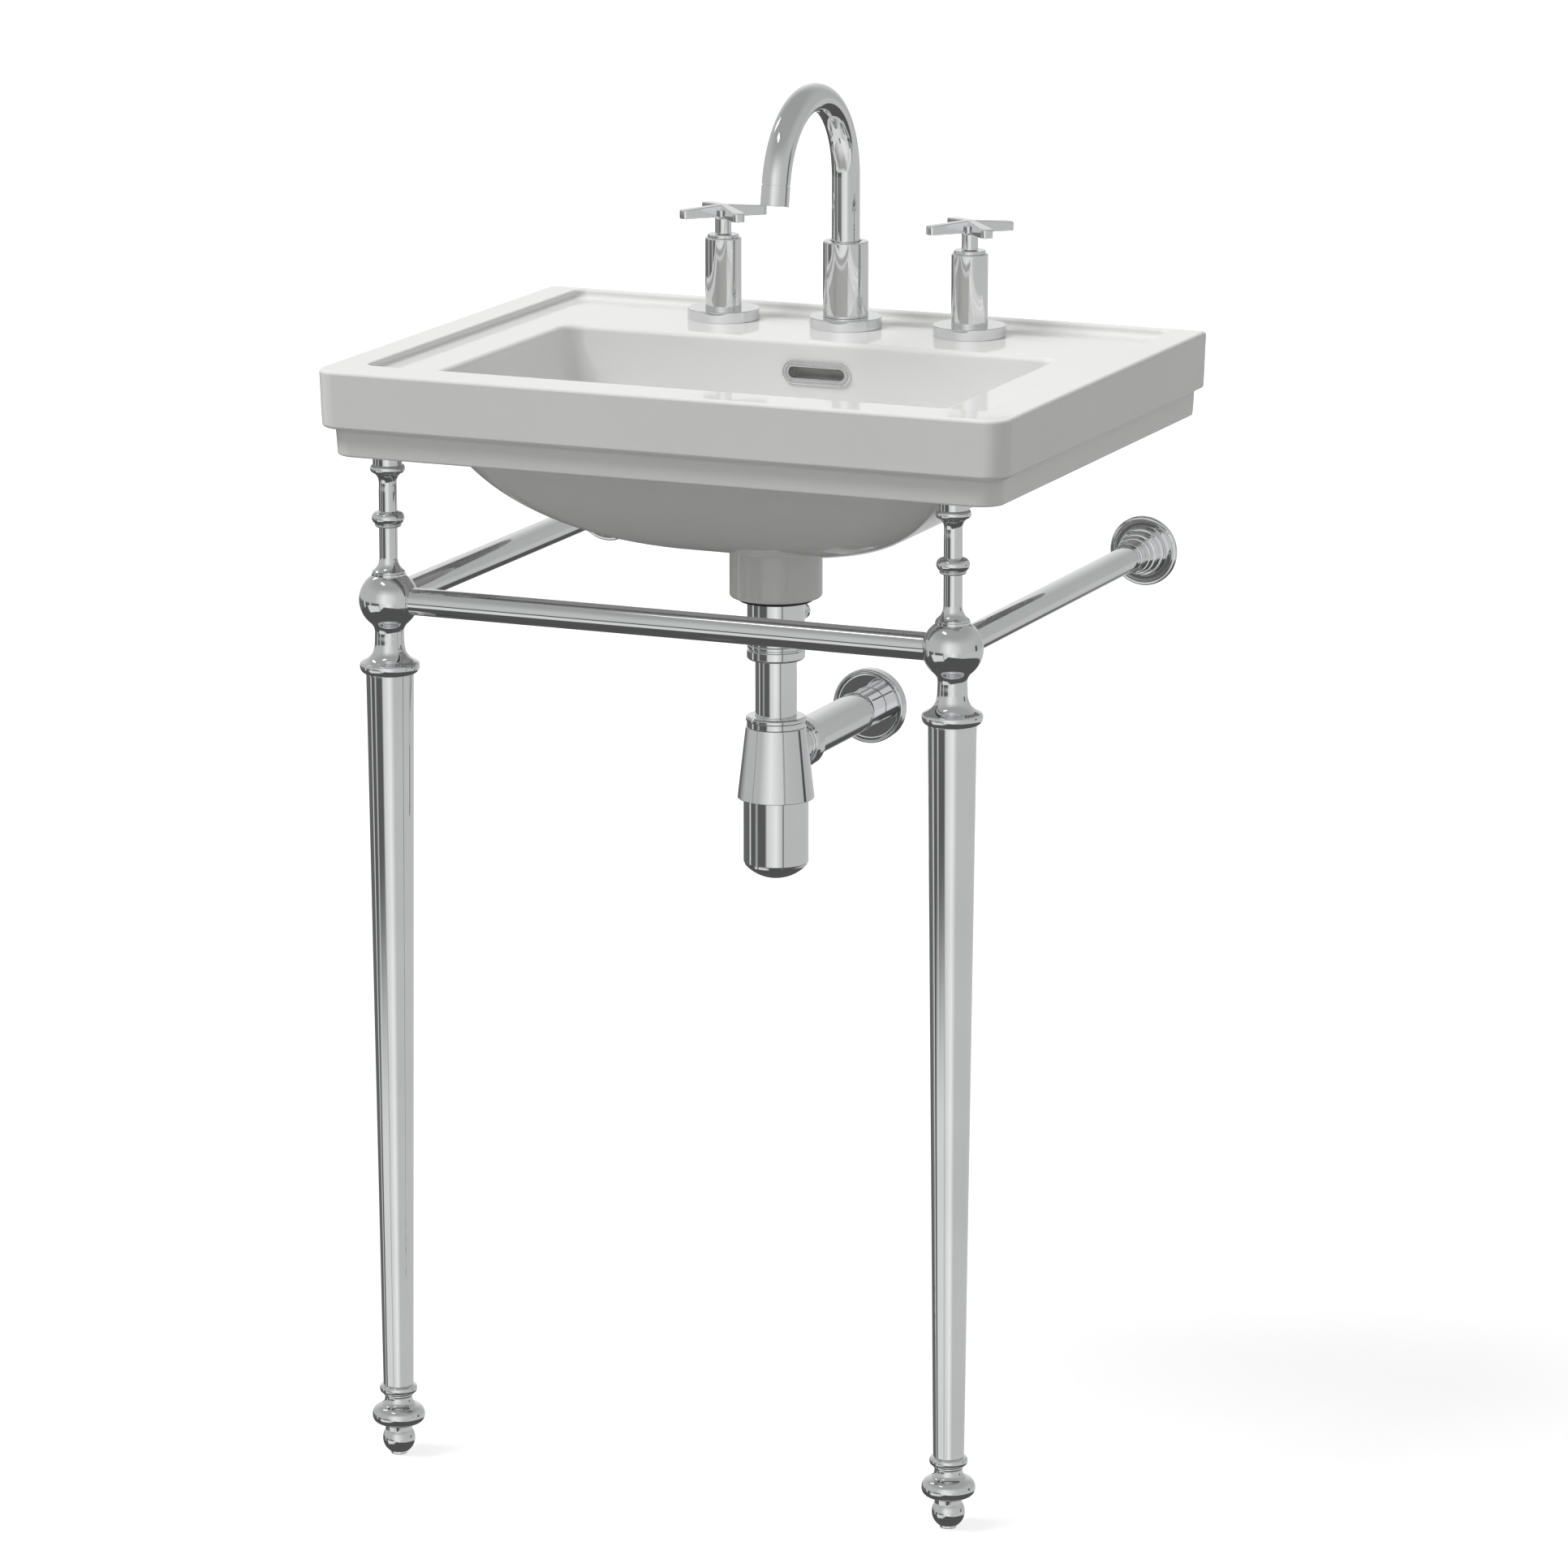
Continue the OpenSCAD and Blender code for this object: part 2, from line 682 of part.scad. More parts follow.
// Plan of one arm along x: two straight sides and a rounded tip.
module arm_plan(shrink) {
    tip = handle_tip_width / 2 - shrink;
    root = handle_root_width / 2 - shrink;
    polygon(concat(
        [[0, -root]],
        arc_points(handle_reach - shrink - tip_corner, tip_corner - tip,
            tip_corner, tip_corner, -90, 0),
        arc_points(handle_reach - shrink - tip_corner, tip - tip_corner,
            tip_corner, tip_corner, 0, 90),
        [[0, root]]));
}

// Side view of one arm, along x and upwards.
module arm_side(drop) {
    translate([0, handle_tip_width, 0]) rotate([90, 0, 0])
        linear_extrude(2 * handle_tip_width)
            polygon([[0, arm_bottom_z], [handle_reach, arm_bottom_z],
                [handle_reach, arm_tip_top_z - drop], [0, arm_root_top_z - drop]]);
}

module arm() {
    intersection() {
        translate([0, 0, arm_bottom_z]) linear_extrude(arm_root_top_z - arm_bottom_z)
            arm_plan(0);
        arm_side(arm_edge);
    }
    intersection() {
        translate([0, 0, arm_bottom_z]) linear_extrude(arm_root_top_z - arm_bottom_z)
            arm_plan(arm_edge);
        arm_side(0);
    }
}

module handle(x) {
    color(CHROME) translate([x, taps_y, 0]) difference() {
        union() {
            translate([0, 0, handle_bottom_z])
                cylinder(r = handle_neck_radius, h = hub_bottom_z - handle_bottom_z + overrun);
            translate([0, 0, hub_bottom_z])
                cylinder(r = hub_radius, h = arm_tip_top_z - arm_edge - hub_bottom_z);
            for (quarter = [0:3])
                rotate([0, 0, handle_turn_angle + 90 * quarter]) arm();
        }
        translate([0, 0, handle_bottom_z - overrun])
            cylinder(r = spindle_radius + fitted_gap,
                h = spindle_top_z - handle_bottom_z + overrun);
        handle_screw_space(fitted_gap);
    }
}

// Grub screw at the back of a handle's neck.
handle_screw_radius = 1.5;
handle_screw_inset = 0.4;
module handle_screw_space(gap) {
    height = (handle_bottom_z + hub_bottom_z) / 2;
    bar_y(handle_screw_radius + gap, spindle_radius + fitted_gap - gap,
        handle_neck_radius + (gap > 0 ? overrun : -handle_screw_inset), height);
}

module handle_screw(x) {
    color(BRASS) translate([x, taps_y, 0]) handle_screw_space(0);
}

module hot_valve_body() { valve_body(-valve_spacing); }
module cold_valve_body() { valve_body(valve_spacing); }
module hot_cartridge() { cartridge(-valve_spacing); }
module cold_cartridge() { cartridge(valve_spacing); }
module hot_bonnet() { bonnet(-valve_spacing); }
module cold_bonnet() { bonnet(valve_spacing); }
module hot_spindle() { spindle(-valve_spacing); }
module cold_spindle() { spindle(valve_spacing); }
module hot_handle() { handle(-valve_spacing); }
module cold_handle() { handle(valve_spacing); }
module hot_handle_screw() { handle_screw(-valve_spacing); }
module cold_handle_screw() { handle_screw(valve_spacing); }

// Spout: fixed column, swinging swan neck, nozzle and aerator.
spout_radius = spout_diameter / 2;
spout_inner = spout_radius - spout_wall;
spout_insert = 40;
spout_base_top_z = flange_top_z + spout_base_height;
spout_bottom_z = spout_base_top_z - spout_insert;
bend_y = taps_y - spout_bend_radius;
bend_z = ledge_z + spout_bend_rise;
spout_screw_radius = 2.5;
spout_screw_rise = 12;
spout_screw_floor = 2;
spout_screw_z = flange_top_z + spout_screw_rise;

module spout_screw_space(gap) {
    translate([0, taps_y, 0])
        bar_y(spout_screw_radius + gap, waterway_radius + spout_screw_floor - gap,
            spout_base_radius + (gap > 0 ? overrun : -handle_screw_inset), spout_screw_z);
}

module spout_base() {
    color(CHROME) difference() {
        translate([0, taps_y, 0]) difference() {
            union() {
                shank(flange_top_z + overrun);
                for (direction = [-1, 1])
                    link_stub(direction, link_radius, port_block_radius - overrun, link_reach);
                turned(concat(
                    [[0, flange_top_z], [spout_base_radius, flange_top_z]],
                    arc_points(spout_base_radius - column_edge, spout_base_top_z - column_edge,
                        column_edge, column_edge, 0, 90),
                    [[0, spout_base_top_z]]));
            }
            translate([0, 0, port_block_bottom_z + port_floor])
                cylinder(r = waterway_radius, h = spout_base_top_z - port_block_bottom_z);
            link_stub(1, link_bore_radius, 0, link_reach + overrun);
            link_stub(-1, link_bore_radius, 0, link_reach + overrun);
            translate([0, 0, spout_bottom_z - running_gap])
                cylinder(r = spout_radius + running_gap, h = spout_insert + 2 * overrun);
            translate([0, 0, spout_base_top_z - column_edge])
                cylinder(r = spout_radius + column_edge, h = column_edge + overrun);
        }
        spout_screw_space(fitted_gap);
    }
}

module spout_grub_screw() {
    color(BRASS) spout_screw_space(0);
}

module spout() {
    color(CHROME) {
        translate([0, taps_y, bend_z])
            ring(spout_radius, spout_inner, spout_bottom_z - bend_z, 0);
        translate([0, bend_y, bend_z]) rotate([90, 0, 90])
            rotate_extrude(angle = spout_bend_angle)
                translate([spout_bend_radius, 0]) difference() {
                    circle(r = spout_radius);
                    circle(r = spout_inner);
                }
    }
}

// Frame at the end of the bend: the water leaves along its -z.
module at_spout_end() {
    translate([0, bend_y + spout_bend_radius * cos(spout_bend_angle),
        bend_z + spout_bend_radius * sin(spout_bend_angle)])
        rotate([spout_bend_angle - 180, 0, 0]) children();
}

nozzle_groove = 0.5;
aerator_length = 6;
aerator_inset = 1;
aerator_hole_radius = 0.9;
aerator_ring_radius = 3;

module spout_nozzle() {
    color(CHROME) at_spout_end() {
        ring(spout_radius - nozzle_groove, spout_inner, -nozzle_groove, 0);
        ring(spout_radius, spout_inner, -nozzle_length, -nozzle_groove);
    }
}

module aerator() {
    bottom = aerator_inset - nozzle_length;
    color(RUBBER) at_spout_end() difference() {
        translate([0, 0, bottom]) cylinder(r = spout_inner - fitted_gap / 2, h = aerator_length);
        for (ring_number = [1:2], hole = [1:6 * ring_number])
            rotate([0, 0, 60 * hole / ring_number])
                translate([aerator_ring_radius * ring_number, 0, bottom - overrun])
                    cylinder(r = aerator_hole_radius, h = aerator_length + 2 * overrun, $fn = 24);
    }
}

module deck_washers() {
    color(RUBBER) for (x = tap_places)
        translate([x, taps_y, 0]) ring(washer_radius, shank_radius + fitted_gap,
            ledge_under_z - washer_thickness, ledge_under_z);
}

module deck_nuts() {
    nut_top = ledge_under_z - washer_thickness;
    color(BRASS) for (x = tap_places)
        translate([x, taps_y, nut_top - nut_thickness]) difference() {
            hexagon(nut_across_flats, nut_thickness);
            translate([0, 0, -overrun])
                cylinder(r = shank_radius + fitted_gap, h = nut_thickness + 2 * overrun);
        }
}

// Waste: flange in the bowl, body under it, plug, seals and side port.
waste_flange_radius = 31;
waste_flange_thickness = 3;
waste_sleeve_radius = 20.4;
waste_sleeve_wall = 1.8;
waste_sleeve_length = 42;
waste_bore_radius = 18.6;
waste_neck_step = 0.8;
waste_neck_radius = waste_radius - waste_neck_step;
waste_neck_height = 26;
waste_seal_radius = 28.5;
waste_seal_thickness = 3;
waste_shank_length = 37.3;
waste_window_height = 8;
waste_window_width = 12;
plug_radius = 21;
plug_thickness = 5;
plug_seat_depth = 1.2;
plug_stem_radius = 4;
plug_stem_length = 34;
guide_hub_radius = 6.5;
guide_hub_step = 1;
guide_height = 8;
guide_drop = 12;
guide_bar_width = 3;
tail_nut_radius = 22.6;
tail_nut_height = 12;
nut_edge = 1.8;
nut_lip = 3;
thread_radius = 19.4;
seal_height = 3;
neck_length = 6;
trap_tube_radius = trap_tube_diameter / 2;
trap_tube_wall = 1.2;
tail_nut_top_z = boss_bottom - waste_shank_length;
waste_seal_z = boss_bottom - waste_seal_thickness;
guide_bottom_z = bowl_bottom_z - guide_drop;

module at_outlet() {
    translate([0, outlet_y, 0]) children();
}

module waste_flange() {
    inner = waste_sleeve_radius - waste_sleeve_wall;
    top = bowl_bottom_z + waste_flange_thickness;
    color(CHROME) at_outlet() difference() {
        union() {
            difference() {
                union() {
                    turned(concat(
                        [[0, bowl_bottom_z], [waste_flange_radius, bowl_bottom_z]],
                        arc_points(waste_flange_radius - flange_edge, top - flange_edge,
                            flange_edge, flange_edge, 0, 90),
                        [[0, top]]));
                    translate([0, 0, bowl_bottom_z - waste_sleeve_length])
                        cylinder(r = waste_sleeve_radius, h = waste_sleeve_length + overrun);
                }
                translate([0, 0, bowl_bottom_z - waste_sleeve_length - overrun])
                    cylinder(r = inner, h = waste_sleeve_length + 2 * overrun
                        + waste_flange_thickness);
                translate([0, 0, top - plug_seat_depth])
                    cylinder(r = plug_radius + free_gap, h = plug_seat_depth + overrun);
            }
            translate([0, 0, guide_bottom_z - guide_hub_step])
                cylinder(r = guide_hub_radius, h = guide_height + 2 * guide_hub_step);
            translate([0, 0, guide_bottom_z]) {
                for (turn = [0:90:270])
                    rotate([0, 0, turn + eighth_turn])
                        translate([0, -guide_bar_width / 2, 0])
                            cube([inner + waste_sleeve_wall / 2, guide_bar_width, guide_height]);
            }
        }
        translate([0, 0, guide_bottom_z - guide_hub_step - overrun])
            cylinder(r = plug_stem_radius + running_gap,
                h = guide_height + 2 * guide_hub_step + 2 * overrun);
        for (turn = [0:90:270])
            rotate([0, 0, turn])
                translate([inner - overrun, -waste_window_width / 2,
                    bowl_bottom_z - duct_start - duct_depth])
                    cube([waste_sleeve_wall + 2 * overrun, waste_window_width,
                        waste_window_height]);
    }
}

module waste_plug() {
    seat = bowl_bottom_z + waste_flange_thickness - plug_seat_depth;
    color(CHROME) at_outlet() {
        turned(concat(
            [[0, seat], [plug_radius, seat]],
            arc_points(0, seat + plug_thickness / 2, plug_radius, plug_thickness / 2, 0, 90)));
        translate([0, 0, seat - plug_stem_length])
            cylinder(r = plug_stem_radius, h = plug_stem_length + overrun);
    }
}

module waste_seal() {
    color(RUBBER) at_outlet()
        ring(waste_seal_radius, waste_neck_radius + fitted_gap,
            waste_seal_z, boss_bottom);
}

port_drop = 21.1;
port_z = boss_bottom - port_drop;
port_reach = 52.6;
port_nut_radius = 7;
port_nut_length = 17;
port_tube_radius = 4.5;
port_bore_radius = 3;
port_seat = 3;

module waste_body() {
    color(CHROME) at_outlet() difference() {
        union() {
            translate([0, 0, waste_seal_z - overrun])
                cylinder(r = waste_neck_radius, h = waste_neck_height + overrun);
            translate([0, 0, tail_nut_top_z])
                cylinder(r = waste_radius, h = waste_seal_z - tail_nut_top_z);
            translate([0, 0, tail_nut_top_z - neck_length])
                cylinder(r = thread_radius, h = neck_length + overrun);
            bar_y(port_tube_radius, waste_bore_radius, port_reach - port_seat, port_z);
        }
        translate([0, 0, tail_nut_top_z - neck_length - overrun])
            cylinder(r = trap_tube_radius + fitted_gap, h = neck_length + seal_height + overrun);
        translate([0, 0, tail_nut_top_z - neck_length + seal_height])
            cylinder(r = trap_tube_radius + fitted_gap,
                h = waste_seal_z - tail_nut_top_z + neck_length);
        translate([0, 0, port_z]) cylinder(r = waste_bore_radius,
            h = waste_seal_z + waste_neck_height - port_z + overrun);
        translate([0, 0, bowl_bottom_z - waste_sleeve_length - fitted_gap])
            cylinder(r = waste_sleeve_radius + fitted_gap, h = waste_sleeve_length);
        bar_y(port_bore_radius, 0, port_reach, port_z);
    }
}

module side_port_nut() {
    color(CHROME) at_outlet() difference() {
        bar_y(port_nut_radius, port_reach - port_nut_length, port_reach, port_z);
        bar_y(port_tube_radius + fitted_gap, port_reach - port_nut_length - overrun,
            port_reach - port_seat, port_z);
        bar_y(port_bore_radius, 0, port_reach - overrun, port_z);
    }
}

// Ring nut with a rounded edge at both ends; its lip closes on a tube.
module ring_nut(outer, thread, tube, height, lip_up) {
    difference() {
        turned(concat(
            [[0, 0]],
            arc_points(outer - nut_edge, nut_edge, nut_edge, nut_edge, -90, 0),
            arc_points(outer - nut_edge, height - nut_edge, nut_edge, nut_edge, 0, 90),
            [[0, height]]));
        translate([0, 0, -overrun])
            cylinder(r = tube + fitted_gap, h = height + 2 * overrun);
        translate([0, 0, lip_up ? -overrun : nut_lip])
            cylinder(r = thread + fitted_gap, h = height - nut_lip + overrun);
    }
}

module tail_nut() {
    color(CHROME) translate([0, outlet_y, tail_nut_top_z - tail_nut_height])
        ring_nut(tail_nut_radius, thread_radius, trap_tube_radius, tail_nut_height, false);
}

module inlet_tube() {
    color(CHROME) at_outlet()
        ring(trap_tube_radius, trap_tube_radius - trap_tube_wall, inlet_bottom_z, inlet_top_z);
}

// Trap: bell with a screwed cup, a nut on top and a pipe to the wall.
trap_outlet_height = tail_nut_top_z - trap_drop;
bell_bottom = trap_outlet_height - bell_skirt;
bell_top = trap_outlet_height + bell_rise;
cup_bend = bell_bottom - cup_length;
bell_neck_height = 5;
trap_nut_height = 8.6;
trap_nut_radius = bell_top_radius;
bell_roof = 6;
cup_wall = 1.8;
cup_neck_radius = 21.5;
cup_shoulder_rise = 10;
cup_neck_rise = 22;
cup_shoulder_z = bell_bottom + cup_shoulder_rise;
cup_top_z = bell_bottom + cup_neck_rise;
cup_floor = 3;
dome_radius = (cup_radius * cup_radius + cup_dome * cup_dome) / (2 * cup_dome);
inlet_foot_rise = 24;
inlet_insert = 10;
inlet_bottom_z = cup_bend + inlet_foot_rise;
inlet_top_z = tail_nut_top_z + inlet_insert;
outlet_stub_radius = 16.9;
outlet_stub_end = 46;
outlet_nut_radius = 20.5;
outlet_nut_start = 39;
outlet_nut_length = 15;
outlet_pipe_start = 38;
outlet_pipe_wall = 0.85;
outlet_pipe_end = 160;
wall_pipe_radius = trap_tube_radius - outlet_pipe_wall - fitted_gap;
wall_pipe_wall = 1;
wall_pipe_start = 110;

module trap_nut() {
    color(CHROME) translate([0, outlet_y, bell_top])
        ring_nut(trap_nut_radius, thread_radius, trap_tube_radius, trap_nut_height, true);
}

module trap_bell() {
    inner_top = bell_top - bell_roof;
    color(CHROME) at_outlet() difference() {
        union() {
            translate([0, 0, bell_bottom])
                cylinder(r1 = bell_bottom_radius, r2 = bell_top_radius, h = bell_top - bell_bottom);
            translate([0, 0, bell_top - overrun])
                cylinder(r = thread_radius, h = bell_neck_height + overrun);
            bar_y(outlet_stub_radius, cup_neck_radius, outlet_stub_end, trap_outlet_height);
        }
        translate([0, 0, inner_top - overrun])
            cylinder(r = trap_tube_radius + fitted_gap,
                h = bell_roof + bell_neck_height + 2 * overrun);
        translate([0, 0, bell_bottom - overrun])
            cylinder(r = cup_radius + fitted_gap, h = cup_shoulder_z - bell_bottom + overrun);
        translate([0, 0, bell_bottom])
            cylinder(r = cup_neck_radius + fitted_gap, h = cup_top_z - bell_bottom);
        translate([0, 0, bell_bottom])
            cylinder(r = cup_neck_radius - cup_wall, h = inner_top - bell_bottom);
        bar_y(trap_tube_radius + fitted_gap, outlet_pipe_start, outlet_stub_end + overrun,
            trap_outlet_height);
        intersection() {
            bar_y(trap_tube_radius - outlet_pipe_wall, 0, outlet_stub_end, trap_outlet_height);
            translate([-half_width, 0, cup_top_z])
                cube([basin_width, basin_depth, inner_top - cup_top_z]);
        }
    }
}

module trap_cup() {
    color(CHROME) translate([0, outlet_y, cup_bend]) difference() {
        union() {
            intersection() {
                translate([0, 0, dome_radius - cup_dome]) sphere(r = dome_radius);
                translate([0, 0, -2 * cup_dome]) cylinder(r = cup_radius, h = 2 * cup_dome);
            }
            cylinder(r = cup_radius, h = cup_length + cup_shoulder_rise);
            cylinder(r = cup_neck_radius, h = cup_length + cup_neck_rise);
        }
        translate([0, 0, cup_floor - cup_dome])
            cylinder(r1 = cup_neck_radius - cup_wall - cup_dome,
                r2 = cup_neck_radius - cup_wall, h = cup_dome);
        translate([0, 0, cup_floor])
            cylinder(r = cup_neck_radius - cup_wall, h = cup_length + cup_neck_rise);
    }
}

// Rubber rings inside the tail nut, the trap nut and the outlet nut.
module trap_seals() {
    color(RUBBER) {
        at_outlet() {
            ring(thread_radius, trap_tube_radius,
                tail_nut_top_z - tail_nut_height + nut_lip, tail_nut_top_z - neck_length);
            ring(thread_radius, trap_tube_radius,
                bell_top + bell_neck_height, bell_top + trap_nut_height - nut_lip);
        }
        translate([0, outlet_y + outlet_stub_end, trap_outlet_height]) rotate([-90, 0, 0])
            ring(outlet_stub_radius, trap_tube_radius, 0,
                outlet_nut_start + outlet_nut_length - nut_lip - outlet_stub_end);
    }
}

module outlet_nut() {
    color(CHROME) translate([0, outlet_y + outlet_nut_start, trap_outlet_height])
        rotate([-90, 0, 0])
            ring_nut(outlet_nut_radius, outlet_stub_radius, trap_tube_radius,
                outlet_nut_length, true);
}

module pipe_y(outer, inner, from_y, to_y) {
    translate([0, from_y, trap_outlet_height]) rotate([-90, 0, 0])
        ring(outer, inner, 0, to_y - from_y);
}

module outlet_pipe() {
    color(CHROME) pipe_y(trap_tube_radius, trap_tube_radius - outlet_pipe_wall,
        outlet_y + outlet_pipe_start, outlet_y + outlet_pipe_end);
}

module wall_pipe() {
    color(CHROME) pipe_y(wall_pipe_radius, wall_pipe_radius - wall_pipe_wall,
        outlet_y + wall_pipe_start, wall_y);
}

// Frame on the wall: z points off the wall, towards the front.
module on_wall(x, height) {
    translate([x, wall_y, height]) rotate([90, 0, 0]) children();
}

plate_lip = 3;
plate_sink = 2;
plate_wall = 2;
plate_edge = 1.5;
module wall_plate() {
    face = wall_plate_depth - plate_sink;
    outer = wall_plate_radius;
    inner = outer - plate_wall;
    color(CHROME) on_wall(0, trap_outlet_height) turned(concat(
        [[inner, 0], [outer, 0]],
        arc_points(outer - plate_edge, wall_plate_depth - plate_edge,
            plate_edge, plate_edge, 0, 90),
        [[outer - plate_lip, wall_plate_depth], [outer - plate_lip - plate_sink, face],
            [wall_pipe_radius + fitted_gap, face],
            [wall_pipe_radius + fitted_gap, face - plate_wall],
            [inner, face - plate_wall]]));
}

// Stand: two legs, three rails and two rosettes.
stem_top_bead_half = 3;
stem_top_bead_drop = 9.2;
collar_height = 6.5;
collar_cove_start = 12.5;
collar_cove_end = 22.5;
stem_bead_half = 6;
stem_bead_drop = 48;
stem_flare_height = 10;
ball_cap_radius = 12.8;
ball_cap_height = 1.8;
ball_cap_groove = 0.6;
stem_pin_radius = 5;
stem_pin_length = 6;
ball_neck_radius = 11.25;
ball_neck_drop = 33.4;
ball_neck_z = rail_height - ball_neck_drop;
ball_cove_radius = 15.5;
ball_cove_drop = 16.4;
ball_cove_top_z = rail_height - ball_cove_drop;
cap_bead_half = 5.5;
cap_bead_core = 18;
cap_bead_drop = 51.9;
cap_bead_z = rail_height - cap_bead_drop;
leg_top_z = cap_bead_z - cap_bead_half;
leg_spigot_radius = 8;
leg_spigot_length = 16;
foot_top_z = 56;
foot_ring_radius = 14.45;
foot_ring_half = 3.5;
foot_neck_radius = 10.55;
foot_disc_z = 31.8;
foot_disc_half = 8.5;
foot_ball_z = 12.5;
foot_spigot_radius = 6;
foot_spigot_length = 24;
pad_radius = 6.3;
pad_height = 2.5;
pad_screw_radius = 4;
pad_screw_length = 22;
rail_wall = 1.5;
rail_end_gap = 0.5;
rail_overlap = rail_radius + rail_end_gap;
rosette_rail_inset = 12;
ball_top_z = rail_height + sqrt(ball_radius * ball_radius - ball_cap_radius * ball_cap_radius);
stem_bottom_z = ball_top_z + ball_cap_height;

module at_leg(side) {
    translate([side * leg_x, leg_y, 0]) children();
}

module upper_stem(side) {
    bead_z = skirt_z - stem_top_bead_drop;
    color(CHROME) at_leg(side) {
        turned(concat(
            [[0, skirt_z], [collar_radius, skirt_z], [collar_radius, skirt_z - collar_height]],
            bead(collar_radius, collar_bead_radius, bead_z, stem_top_bead_half),
            cove_down(collar_radius, stem_radius, skirt_z - collar_cove_start,
                skirt_z - collar_cove_end),
            bead(stem_radius, stem_bead_radius, skirt_z - stem_bead_drop, stem_bead_half),
            cove_out(stem_radius, ball_cap_radius, stem_bottom_z + stem_flare_height,
                stem_bottom_z),
            [[ball_cap_radius - ball_cap_groove, stem_bottom_z],
                [ball_cap_radius - ball_cap_groove, stem_bottom_z - ball_cap_groove],
                [ball_cap_radius, stem_bottom_z - ball_cap_groove],
                [ball_cap_radius, ball_top_z], [0, ball_top_z]]));
        translate([0, 0, skirt_z - overrun])
            cylinder(r = leg_pin_radius, h = leg_pin_length + overrun);
        translate([0, 0, ball_top_z - stem_pin_length])
            cylinder(r = stem_pin_radius, h = stem_pin_length + overrun);
    }
}

module ball_joint(side) {
    color(CHROME) at_leg(side) difference() {
        union() {
            difference() {
                translate([0, 0, rail_height]) sphere(r = ball_radius);
                translate([-ball_radius, -ball_radius, ball_top_z])
                    cube([2 * ball_radius, 2 * ball_radius, ball_radius]);
            }
            turned(concat(
                [[0, ball_cove_top_z + ball_neck_radius],
                    [ball_cove_radius - overrun, ball_cove_top_z + overrun]],
                cove_down(ball_cove_radius, ball_neck_radius, ball_cove_top_z, ball_neck_z),
                cove_out(ball_neck_radius, cap_bead_core, ball_neck_z,
                    cap_bead_z + cap_bead_half),
                bead(cap_bead_core, cap_bead_radius, cap_bead_z, cap_bead_half),
                [[0, leg_top_z]]));
        }
        translate([0, 0, ball_top_z - stem_pin_length - fitted_gap])
            cylinder(r = stem_pin_radius + fitted_gap, h = stem_pin_length + overrun);
        translate([0, 0, leg_top_z - overrun])
            cylinder(r = leg_spigot_radius + fitted_gap,
                h = leg_spigot_length + overrun + fitted_gap);
        translate([0, 0, rail_height]) {
            translate([-side * rail_overlap, 0, 0]) rotate([0, -side * 90, 0])
                cylinder(r = rail_radius + fitted_gap, h = ball_radius);
            bar_y(rail_radius + fitted_gap, rail_overlap, rail_overlap + ball_radius, 0);
        }
    }
}

module leg_tube(side) {
    color(CHROME) at_leg(side) difference() {
        union() {
            translate([0, 0, foot_top_z])
                cylinder(r1 = leg_bottom_radius, r2 = leg_top_radius, h = leg_top_z - foot_top_z);
            translate([0, 0, leg_top_z - overrun])
                cylinder(r = leg_spigot_radius, h = leg_spigot_length + overrun);
        }
        translate([0, 0, foot_top_z - overrun])
            cylinder(r = foot_spigot_radius + fitted_gap,
                h = foot_spigot_length + 2 * overrun);
        translate([0, 0, foot_top_z + foot_spigot_length + fitted_gap])
            cylinder(r1 = leg_bottom_radius - leg_wall, r2 = leg_top_radius - leg_wall,
                h = leg_top_z - leg_wall - foot_top_z - foot_spigot_length);
    }
}

module foot(side) {
    color(CHROME) at_leg(side) difference() {
        union() {
            turned(concat(
                [[0, foot_top_z], [foot_neck_radius, foot_top_z]],
                bead(foot_neck_radius, foot_ring_radius, foot_top_z - foot_ring_half,
                    foot_ring_half),
                bead(foot_neck_radius, foot_disc_radius, foot_disc_z, foot_disc_half),
                [[foot_neck_radius, foot_ball_z], [0, foot_ball_z]]));
            difference() {
                translate([0, 0, foot_ball_z]) sphere(r = foot_ball_radius);
                translate([-foot_ball_radius, -foot_ball_radius, pad_height - foot_ball_radius])
                    cube([2 * foot_ball_radius, 2 * foot_ball_radius, foot_ball_radius]);
            }
            translate([0, 0, foot_top_z - overrun])
                cylinder(r = foot_spigot_radius, h = foot_spigot_length + overrun);
        }
        translate([0, 0, pad_height - overrun])
            cylinder(r = pad_screw_radius + running_gap,
                h = pad_screw_length + overrun + free_gap);
    }
}

module foot_pad(side) {
    color(CHROME) at_leg(side) {
        cylinder(r = pad_radius, h = pad_height);
        translate([0, 0, pad_height - overrun])
            cylinder(r = pad_screw_radius, h = pad_screw_length + overrun);
    }
}

module left_upper_stem() { upper_stem(-1); }
module right_upper_stem() { upper_stem(1); }
module left_ball_joint() { ball_joint(-1); }
module right_ball_joint() { ball_joint(1); }
module left_leg_tube() { leg_tube(-1); }
module right_leg_tube() { leg_tube(1); }
module left_foot() { foot(-1); }
module right_foot() { foot(1); }
module left_foot_pad() { foot_pad(-1); }
module right_foot_pad() { foot_pad(1); }

// Rails: thin tubes from ball to ball and from each ball to the wall.
module front_rail() {
    length = 2 * leg_x - 2 * rail_overlap;
    color(CHROME) translate([-length / 2, leg_y, rail_height]) rotate([0, 90, 0])
        ring(rail_radius, rail_radius - rail_wall, 0, length);
}

module side_rail(side) {
    length = wall_y - rosette_rail_inset - leg_y - rail_overlap;
    color(CHROME) translate([side * leg_x, leg_y + rail_overlap, rail_height])
        rotate([-90, 0, 0]) ring(rail_radius, rail_radius - rail_wall, 0, length);
}

